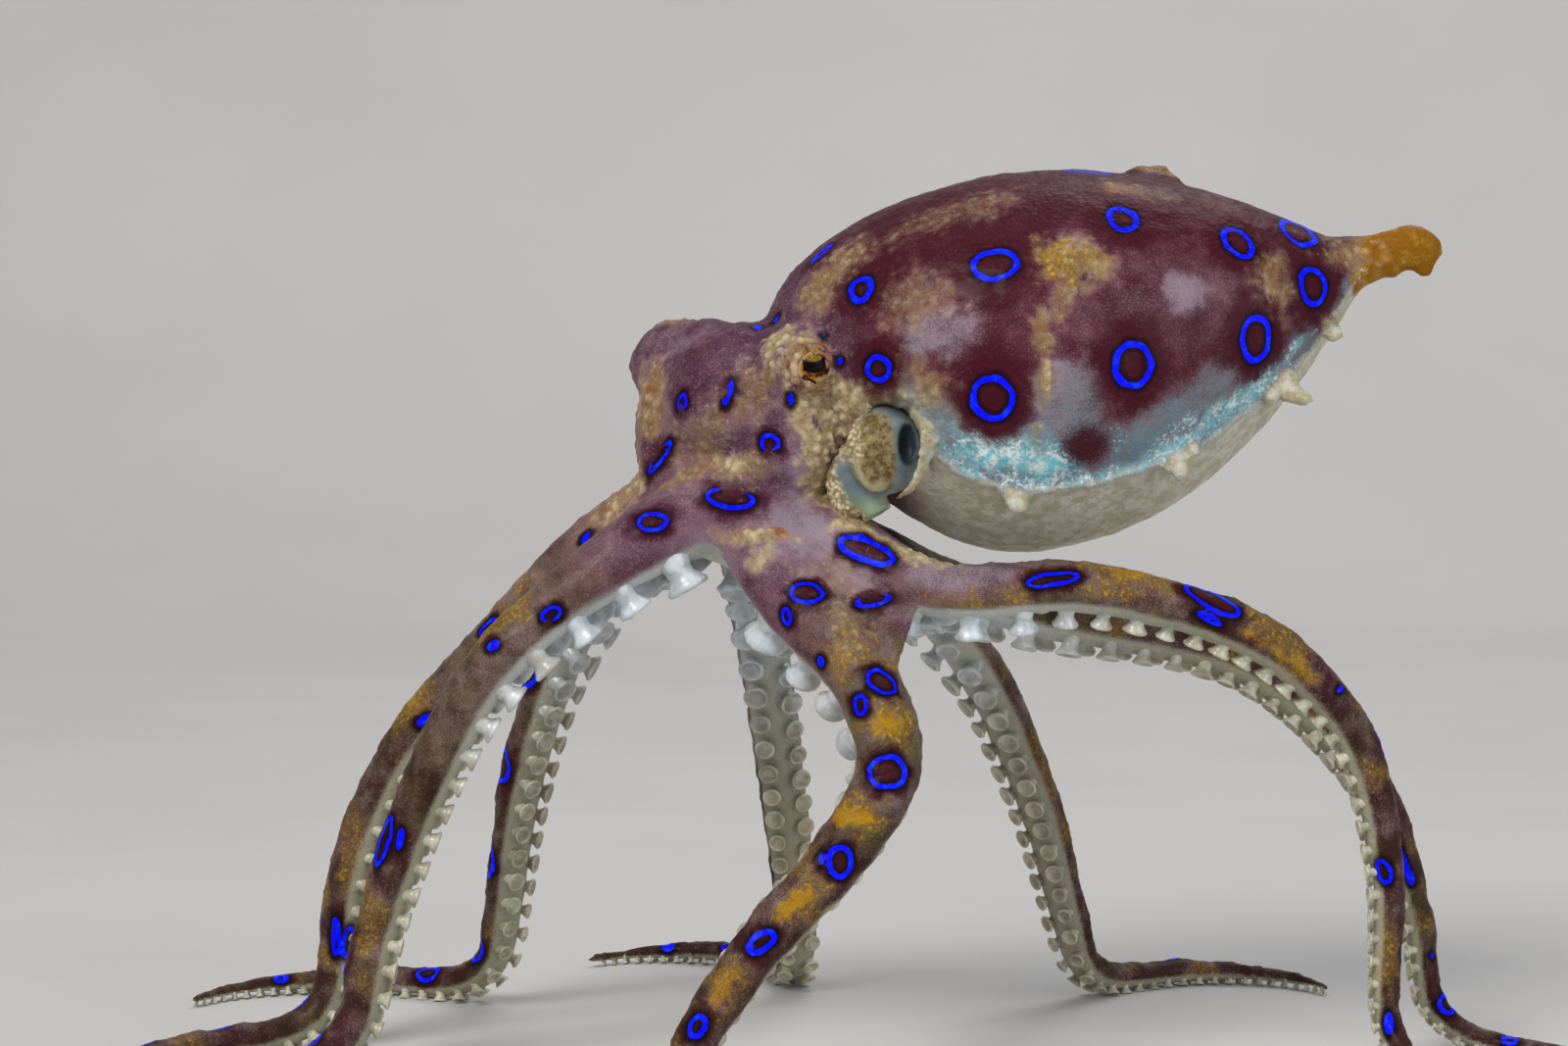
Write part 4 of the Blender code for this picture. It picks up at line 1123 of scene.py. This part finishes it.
def layered(tree, base, *layers):
    # colours laid over one another, each with its own share
    for share, colour in layers:
        base = mixed(tree, share, base, colour)
    return base


def stepped(tree, value, low, high, start=0.0, end=1.0):
    limits = {"Value": value, "From Min": low, "From Max": high, "To Min": start, "To Max": end}
    return addNode(tree, "ShaderNodeMapRange", limits, interpolation_type="SMOOTHSTEP").outputs["Result"]


def clouds(tree, size, detail=3.0, roughness=0.55):
    # size is in millimetres
    place = addNode(tree, "ShaderNodeTexCoord").outputs["Object"]
    made = addNode(tree, "ShaderNodeTexNoise", {"Vector": place, "Scale": 1.0 / (size * mm), "Detail": detail,
                                                "Roughness": roughness})
    return made.outputs["Fac"]


def buildGrainGroup():
    # the pebbled grain of wet skin and its pigment cells; sizes are in millimetres
    group = bpy.data.node_groups.new("skin grain", "ShaderNodeTree")
    face = group.interface
    for name, value in (("Pebble", 0.35), ("Cell", 0.22)):
        made = face.new_socket(name=name, in_out="INPUT", socket_type="NodeSocketFloat")
        made.default_value = value
    for name in ("Height", "Cells", "Beads", "Mottle"):
        face.new_socket(name=name, in_out="OUTPUT", socket_type="NodeSocketFloat")
    start = group.nodes.new("NodeGroupInput")
    end = group.nodes.new("NodeGroupOutput")
    place = addNode(group, "ShaderNodeTexCoord").outputs["Object"]
    pebbleScale = maths(group, "DIVIDE", 1.0 / mm, start.outputs["Pebble"])
    pebbles = addNode(group, "ShaderNodeTexVoronoi", {"Vector": place, "Scale": pebbleScale},
                      feature="SMOOTH_F1")
    fine = addNode(group, "ShaderNodeTexNoise",
                   {"Vector": place, "Scale": times(group, pebbleScale, 2.2), "Detail": 3.0})
    bump = minus(group, times(group, fine.outputs["Fac"], 0.5), pebbles.outputs["Distance"])
    group.links.new(bump, end.inputs["Height"])
    cellScale = maths(group, "DIVIDE", 1.0 / mm, start.outputs["Cell"])
    cells = addNode(group, "ShaderNodeTexVoronoi", {"Vector": place, "Scale": cellScale, "Randomness": 0.9})
    group.links.new(cells.outputs["Distance"], end.inputs["Cells"])
    group.links.new(pebbles.outputs["Distance"], end.inputs["Beads"])
    mottle = addNode(group, "ShaderNodeTexNoise", {"Vector": place, "Scale": times(group, cellScale, 0.2),
                                                   "Detail": 4.0, "Roughness": 0.65})
    group.links.new(mottle.outputs["Fac"], end.inputs["Mottle"])
    return group


grainGroup = buildGrainGroup()


def addGrain(tree, pebble, cell):
    made = addNode(tree, "ShaderNodeGroup", node_tree=grainGroup)
    made.inputs["Pebble"].default_value = pebble
    made.inputs["Cell"].default_value = cell
    return made


def newMaterial(name):
    material = bpy.data.materials.new(name)
    material.use_nodes = True
    return material, material.node_tree, material.node_tree.nodes["Principled BSDF"]


def finishFlesh(tree, shader, texture, colour, look):
    # joins a colour to its shader, with the wet surface that look says; the bump's depth is in millimetres
    tree.links.new(colour, shader.inputs["Base Color"])
    rough = stepped(tree, texture.outputs["Mottle"], 0.3, 0.7, *look["roughness"])
    tree.links.new(rough, shader.inputs["Roughness"])
    for name, value in look["settings"].items():
        shader.inputs[name].default_value = value
    if "bump" in look:
        strength, depth = look["bump"]
        bump = addNode(tree, "ShaderNodeBump", {"Height": texture.outputs["Height"], "Strength": strength,
                                                "Distance": depth * mm})
        tree.links.new(bump.outputs["Normal"], shader.inputs["Normal"])


skinColours = paints(
    maroon=(66, 12, 29), plum=(70, 26, 58), brown=(52, 28, 20), mauve=(126, 76, 88), lilac=(154, 132, 144),
    grey=(122, 129, 134), tan=(134, 98, 68), beige=(160, 132, 96), earth=(84, 52, 38),
    cream=(198, 180, 140), grainPale=(224, 208, 168), gold=(142, 110, 46), yellow=(206, 164, 58),
    amber=(184, 136, 18), ochre=(148, 98, 12), belly=(172, 168, 142), bellyPale=(204, 204, 188),
    silver=(104, 138, 150), aqua=(158, 206, 212), cyan=(118, 216, 230), white=(234, 248, 246),
    pearl=(182, 170, 132), olive=(150, 142, 106), armGrey=(108, 94, 66), armPale=(144, 122, 118),
    oral=(188, 196, 198), orange=(166, 92, 34), ringInside=(74, 12, 23), ringEdge=(12, 2, 9),
    blue=(0, 8, 255), azure=(8, 70, 255))
# Emission Strength sets how brightly the blue ring lines glow: painted light, as the rings are no lamp
skinLook = dict(roughness=(0.34, 0.55), bump=(0.5, 0.16), settings={
    "Coat Weight": 0.05, "Coat Roughness": 0.12, "Subsurface Weight": 0.12, "Specular IOR Level": 0.08,
    "Subsurface Radius": (1.0, 0.45, 0.3), "Subsurface Scale": 0.5 * mm, "Emission Strength": 0.25})


def makeSkinMaterial(colours):
    material, tree, shader = newMaterial("octopus skin")
    texture = addGrain(tree, 0.34, 0.13)
    cells, beads, mottle = (texture.outputs[name] for name in ("Cells", "Beads", "Mottle"))
    broad = clouds(tree, 4.5, 4.0, 0.6)
    middle = clouds(tree, 1.2, 4.0, 0.65)

    def stippled(name, reach=0.9):
        # an attribute whose soft edge breaks up into grains
        shake = times(tree, minus(tree, mottle, 0.5), reach)
        return stepped(tree, plus(tree, field(tree, name), shake), 0.15, 0.85)

    def blended(first, second, low, high, by=middle):
        return mixed(tree, stepped(tree, by, low, high), colours[first], colours[second])

    # what lies under the pigment cells
    dust = clouds(tree, 0.45, 4.0, 0.7)
    lilacShare = stepped(tree, field(tree, "lilac"), 0.1, 0.7)
    bluish = mixed(tree, times(tree, field(tree, "flank"), 0.8), blended("lilac", "grey", 0.55, 0.95, broad),
                   blended("grey", "lilac", 0.45, 0.75))
    armShare = times(tree, field(tree, "arm"), minus(tree, 1.0, lilacShare))
    goldShare = stippled("gold", 1.4)
    grains = times(tree, stepped(tree, beads, 0.50, 0.20), stepped(tree, dust, 0.40, 0.60, 0.25, 1.0))
    glowing = times(tree, field(tree, "glow"), field(tree, "sheen"))
    oral = mixed(tree, times(tree, field(tree, "outer"), 0.7), blended("oral", "bellyPale", 0.3, 0.7),
                 colours["olive"])
    under = layered(
        tree, blended("mauve", "lilac", 0.5, 0.85),
        (times(tree, field(tree, "head"), 0.5), colours["lilac"]),
        (lilacShare, bluish),
        (stippled("tan"), blended("tan", "beige", 0.35, 0.65)),
        (armShare, blended("armGrey", "armPale", 0.35, 0.65, broad)),
        (stippled("cream"), blended("beige", "cream", 0.3, 0.6, dust)),
        (times(tree, goldShare, 0.75), colours["gold"]),
        (times(tree, goldShare, grains), colours["yellow"]),
        (times(tree, stippled("heart", 1.2), 0.85), colours["amber"]),
        (field(tree, "belly"), blended("belly", "bellyPale", 0.35, 0.65)),
        # the painted sheen along the flank: a silver-grey wash and an aqua glow that stand in for light off
        # the wet skin
        (times(tree, field(tree, "sheen"), 0.9), blended("silver", "grey", 0.45, 0.65)),
        (times(tree, glowing, 0.9), colours["aqua"]),
        (field(tree, "oral"), oral),
        (stepped(tree, field(tree, "tail"), 0.3, 0.8), blended("ochre", "yellow", 0.45, 0.85)),
        (times(tree, stippled("ridge"), 0.7), colours["bellyPale"]),
        (field(tree, "pale"), blended("pearl", "bellyPale", 0.4, 0.6)),
        (times(tree, field(tree, "lid"), 0.8), blended("earth", "orange", 0.28, 0.42, cells)))

    # the pigment cells, which grow until they meet
    ink = layered(tree, colours["maroon"], (field(tree, "head"), colours["plum"]),
                  (field(tree, "arm"), colours["brown"]),
                  (stepped(tree, broad, 0.35, 0.7, 0.0, 0.6), colours["maroon"]))
    uneven = times(tree, minus(tree, middle, 0.5), 0.5)
    density = plus(tree, field(tree, "pigment"), uneven)
    size = plus(tree, times(tree, density, 0.68), 0.22)
    grown = stepped(tree, minus(tree, cells, size), 0.12, -0.12, 0.0, 0.36)
    cover = plus(tree, grown, stepped(tree, density, 0.05, 0.9, 0.0, 0.60))

    # painted sparkles along the flank: cyan and white glints of light drawn into the colour, over the painted
    # sheen
    glint = plus(tree, clouds(tree, 0.3, 4.0, 0.7), times(tree, field(tree, "glow"), 0.20))
    glint = plus(tree, glint, times(tree, minus(tree, clouds(tree, 2.6), 0.5), 0.5))
    paintedSparkles = times(tree, stepped(tree, glint, 0.55, 0.78), stepped(tree, field(tree, "sheen"), 0.2, 0.7))
    shine = blended("cyan", "white", 0.42, 0.58, clouds(tree, 0.8, 3.0))

    # specks of earth brown on the tan, and of cream beside it
    rough = plus(tree, field(tree, "tan"), field(tree, "cream"), clamp=True)
    specks = times(tree, stepped(tree, clouds(tree, 0.3, 3.0, 0.6), 0.56, 0.66), 0.45)
    specks = times(tree, specks, plus(tree, rough, field(tree, "orbit"), clamp=True))
    lidSpecks = times(tree, stepped(tree, dust, 0.52, 0.60), field(tree, "orbit"))
    paleShare = plus(tree, times(tree, field(tree, "head"), 0.4), rough, clamp=True)
    pale = times(tree, stepped(tree, dust, 0.42, 0.34), times(tree, paleShare, 0.5))

    # the rings
    line = field(tree, "ringLine")
    overLine = minus(tree, maths(tree, "ABSOLUTE", field(tree, "ringAway")), line)
    present = stepped(tree, line, 0.0, 0.08)
    edge = times(tree, stepped(tree, overLine, 0.55, 0.05, 0.0, 0.9), present)
    blueMask = times(tree, stepped(tree, overLine, 0.03, -0.05), present)
    blue = blended("blue", "azure", 0.5, 0.75, mottle)

    colour = layered(
        tree, under, (cover, ink), (times(tree, paintedSparkles, 0.9), shine),
        (specks, colours["earth"]), (times(tree, lidSpecks, 0.7), colours["brown"]), (pale, colours["cream"]),
        (times(tree, field(tree, "grainTop"), 0.7), colours["grainPale"]),
        (stepped(tree, field(tree, "grainGap"), 0.45, 1.1, 0.0, 0.32), colours["earth"]),
        (times(tree, field(tree, "ringShade"), 0.65), blended("ringInside", "maroon", 0.3, 0.8, cells)),
        (edge, colours["ringEdge"]), (blueMask, blue))
    # the blue of the ring lines also goes to emission, so the rings glow: painted light, as they are no lamp
    tree.links.new(mixed(tree, blueMask, (0.0, 0.0, 0.0, 1.0), blue), shader.inputs["Emission Color"])
    finishFlesh(tree, shader, texture, colour, skinLook)
    return material


suckerColours = paints(rim=(222, 230, 238), cup=(178, 188, 192), stain=(184, 170, 140),
                       outerRim=(206, 200, 168), outerCup=(158, 150, 116))
suckerLook = dict(roughness=(0.25, 0.42), bump=(0.3, 0.08), settings={
    "Coat Weight": 0.4, "Coat Roughness": 0.15, "Subsurface Weight": 0.3,
    "Subsurface Radius": (1.0, 0.7, 0.5), "Subsurface Scale": 0.6 * mm})


def makeSuckerMaterial(colours):
    material, tree, shader = newMaterial("sucker flesh")
    texture = addGrain(tree, 0.25, 0.16)
    patch = stepped(tree, clouds(tree, 1.4), 0.35, 0.65)
    outer = mixed(tree, patch, colours["outerCup"], colours["outerRim"])
    base = layered(tree, colours["cup"], (patch, colours["rim"]),
                   (times(tree, field(tree, "outer"), 0.8), outer),
                   (times(tree, stepped(tree, clouds(tree, 5.0), 0.5, 0.7), 0.5), colours["stain"]))
    finishFlesh(tree, shader, texture, base, suckerLook)
    return material


# hollow is painted shade, the dark of the opening's recess
siphonColours = paints(tube=(104, 122, 130), pale=(136, 148, 142), lobe=(152, 138, 94),
                       lobeDark=(98, 74, 36), lobeRim=(208, 198, 156), hollow=(42, 54, 62),
                       mouth=(160, 178, 130), collar=(224, 212, 174), collarDark=(150, 134, 98))
siphonLook = dict(roughness=(0.42, 0.6), bump=(0.25, 0.08), settings={
    "Specular IOR Level": 0.25, "Coat Weight": 0.05, "Coat Roughness": 0.25, "Subsurface Weight": 0.3,
    "Subsurface Radius": (0.8, 0.8, 0.7), "Subsurface Scale": 0.8 * mm})


def makeSiphonMaterial(colours):
    material, tree, shader = newMaterial("siphon flesh")
    texture = addGrain(tree, 0.30, 0.18)
    lobe = mixed(tree, stepped(tree, clouds(tree, 0.5, 4.0, 0.7), 0.38, 0.62), colours["lobeDark"],
                 colours["lobe"])
    collar = mixed(tree, stepped(tree, texture.outputs["Beads"], 0.2, 0.6), colours["collar"],
                   colours["collarDark"])
    base = layered(tree, colours["tube"], (stepped(tree, clouds(tree, 1.8), 0.4, 0.7), colours["pale"]),
                   (times(tree, field(tree, "mouth"), 0.7), colours["mouth"]), (field(tree, "lobe"), lobe),
                   (times(tree, field(tree, "lobeRim"), 0.75), colours["lobeRim"]),
                   # the opening's recess painted dark: painted shade
                   (field(tree, "collar"), collar), (field(tree, "hollow"), colours["hollow"]))
    finishFlesh(tree, shader, texture, base, siphonLook)
    return material


eyeColours = paints(iris=(168, 92, 24), irisDark=(52, 24, 10), irisGold=(150, 128, 52),
                    irisRim=(186, 150, 96), pupil=(2, 2, 3))
eyeLook = dict(roughness=(0.40, 0.55), settings={
    "Specular IOR Level": 0.08, "Coat Weight": 0.05, "Coat Roughness": 0.06})


def makeEyeMaterial(colours):
    material, tree, shader = newMaterial("eye")
    across, rise = field(tree, "eyeAcross"), field(tree, "eyeRise")
    squares = [times(tree, place, place) for place in (across, rise)]
    out = maths(tree, "SQRT", plus(tree, *squares))
    texture = addGrain(tree, 0.14, 0.10)
    mottle = texture.outputs["Mottle"]
    speckled = stepped(tree, texture.outputs["Cells"], 0.6, 0.35)
    goldTop = mixed(tree, speckled, colours["irisGold"], colours["irisDark"])
    rimSpeckle = mixed(tree, stepped(tree, mottle, 0.46, 0.54), colours["irisDark"], colours["irisRim"])
    low = plus(tree, out, stepped(tree, rise, -0.3, -0.8, 0.0, 0.22))
    # the pupil is a level slit whose ends turn up, the right one more
    bend = times(tree, times(tree, across, across), 0.30)
    flick = plus(tree, bend, times(tree, stepped(tree, across, 0.1, 0.7), 0.16))
    tall = maths(tree, "ABSOLUTE", minus(tree, rise, flick))
    wide = maths(tree, "ABSOLUTE", across)
    slit = times(tree, stepped(tree, tall, 0.46, 0.38), stepped(tree, wide, 0.90, 0.82))
    colour = layered(tree, colours["irisDark"], (stepped(tree, mottle, 0.4, 0.6), colours["iris"]),
                     (stepped(tree, rise, 0.25, 0.7), goldTop), (stepped(tree, low, 0.90, 1.12), rimSpeckle),
                     (slit, colours["pupil"]))
    finishFlesh(tree, shader, texture, colour, eyeLook)
    return material


skinMaterial = makeSkinMaterial(skinColours)
suckerMaterial = makeSuckerMaterial(suckerColours)
siphonMaterial = makeSiphonMaterial(siphonColours)
eyeMaterial = makeEyeMaterial(eyeColours)
print("materials made")

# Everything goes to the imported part's place, and stands for its nodes
fleshNodes = [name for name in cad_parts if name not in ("siphon", "eye_left", "eye_right")]
pieces = [(skin, skinMaterial, "skin", fleshNodes), (suckers, suckerMaterial, "arm_skin", []),
          (funnel, siphonMaterial, "siphon", ["siphon"]), (eyes["left"], eyeMaterial, "eye", ["eye_left"]),
          (eyes["right"], eyeMaterial, "eye", ["eye_right"])]
for piece, material, slot, nodes in pieces:
    piece.data.materials.clear()
    piece.data.materials.append(material)
    piece.data.transform(toFrame)
    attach(piece, "root")
    if nodes:
        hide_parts(*nodes)


# Floor, lights and camera

stage = dict(width=1.6, front=-0.6, back=0.32, bend=0.16, height=0.9, steps=16,
             **paints(colour=(208, 206, 203), colourDark=(204, 202, 199)))


def makeFloor():
    bm = bmesh.new()
    a = bm.verts.new((-stage["width"] / 2.0, stage["front"], 0.0))
    b = bm.verts.new((-stage["width"] / 2.0, stage["back"], 0.0))
    edge = bm.edges.new((a, b))
    turn = bmesh.ops.spin(bm, geom=[b], cent=(0.0, stage["back"], stage["bend"]), axis=(1.0, 0.0, 0.0),
                          angle=pi / 2.0, steps=stage["steps"])
    last = next(item for item in turn["geom_last"] if isinstance(item, bmesh.types.BMVert))
    top = bmesh.ops.extrude_vert_indiv(bm, verts=[last])["verts"]
    bmesh.ops.translate(bm, vec=(0.0, 0.0, stage["height"]), verts=top)
    verts = newItems(bmesh.ops.extrude_edge_only(bm, edges=bm.edges[:]), bmesh.types.BMVert)
    bmesh.ops.translate(bm, vec=(stage["width"], 0.0, 0.0), verts=verts)
    bmesh.ops.remove_doubles(bm, verts=bm.verts, dist=1e-6)
    floor = makeObject("floor", bm)
    if sum(face.normal.z for face in floor.data.polygons) < 0.0:
        floor.data.flip_normals()
    floor.data.shade_smooth()
    material, tree, shader = newMaterial("pale floor")
    colour = mixed(tree, stepped(tree, clouds(tree, 60.0), 0.3, 0.7), stage["colour"], stage["colourDark"])
    tree.links.new(colour, shader.inputs["Base Color"])
    shader.inputs["Roughness"].default_value = 0.8
    # the sheet can be looked through from behind and from below
    behind = addNode(tree, "ShaderNodeNewGeometry").outputs["Backfacing"]
    tree.links.new(minus(tree, 1.0, behind), shader.inputs["Alpha"])
    floor.data.materials.append(material)
    return floor


makeFloor()

lamps = [dict(name="key", place=(-0.28, -0.42, 0.52), size=0.30, power=3.2, colour=(1.0, 0.97, 0.93)),
         dict(name="fill", place=(0.50, -0.40, 0.22), size=0.45, power=1.3, colour=(0.92, 0.95, 1.0)),
         dict(name="rim", place=(0.15, 0.28, 0.50), size=0.30, power=0.8, colour=(1.0, 1.0, 1.0))]


def makeLamp(name, place, size, power, colour):
    light = bpy.data.lights.new(name, "AREA")
    light.size = size
    light.energy = power
    light.color = colour
    lamp = linked(name, light)
    lamp.location = place
    aim = (view["target"] + stance) * mm - Vector(place)
    lamp.rotation_euler = aim.to_track_quat("-Z", "Y").to_euler()


for lamp in lamps:
    makeLamp(**lamp)
world = bpy.data.worlds.new("studio")
world.use_nodes = True
sky = world.node_tree.nodes["Background"].inputs
sky["Color"].default_value = (0.86, 0.9, 1.0, 1.0)
sky["Strength"].default_value = 0.28
bpy.context.scene.world = world
bpy.context.scene.view_settings.view_transform = "Standard"

camera = linked("camera", bpy.data.cameras.new("camera"))
camera.data.lens = view["lens"]
camera.data.sensor_width = view["sensor"]
camera.data.clip_start = 0.01
camera.location = (viewPoint + stance) * mm
camera.rotation_euler = (radians(90.0 - view["elevation"]), 0.0, 0.0)
bpy.context.scene.camera = camera
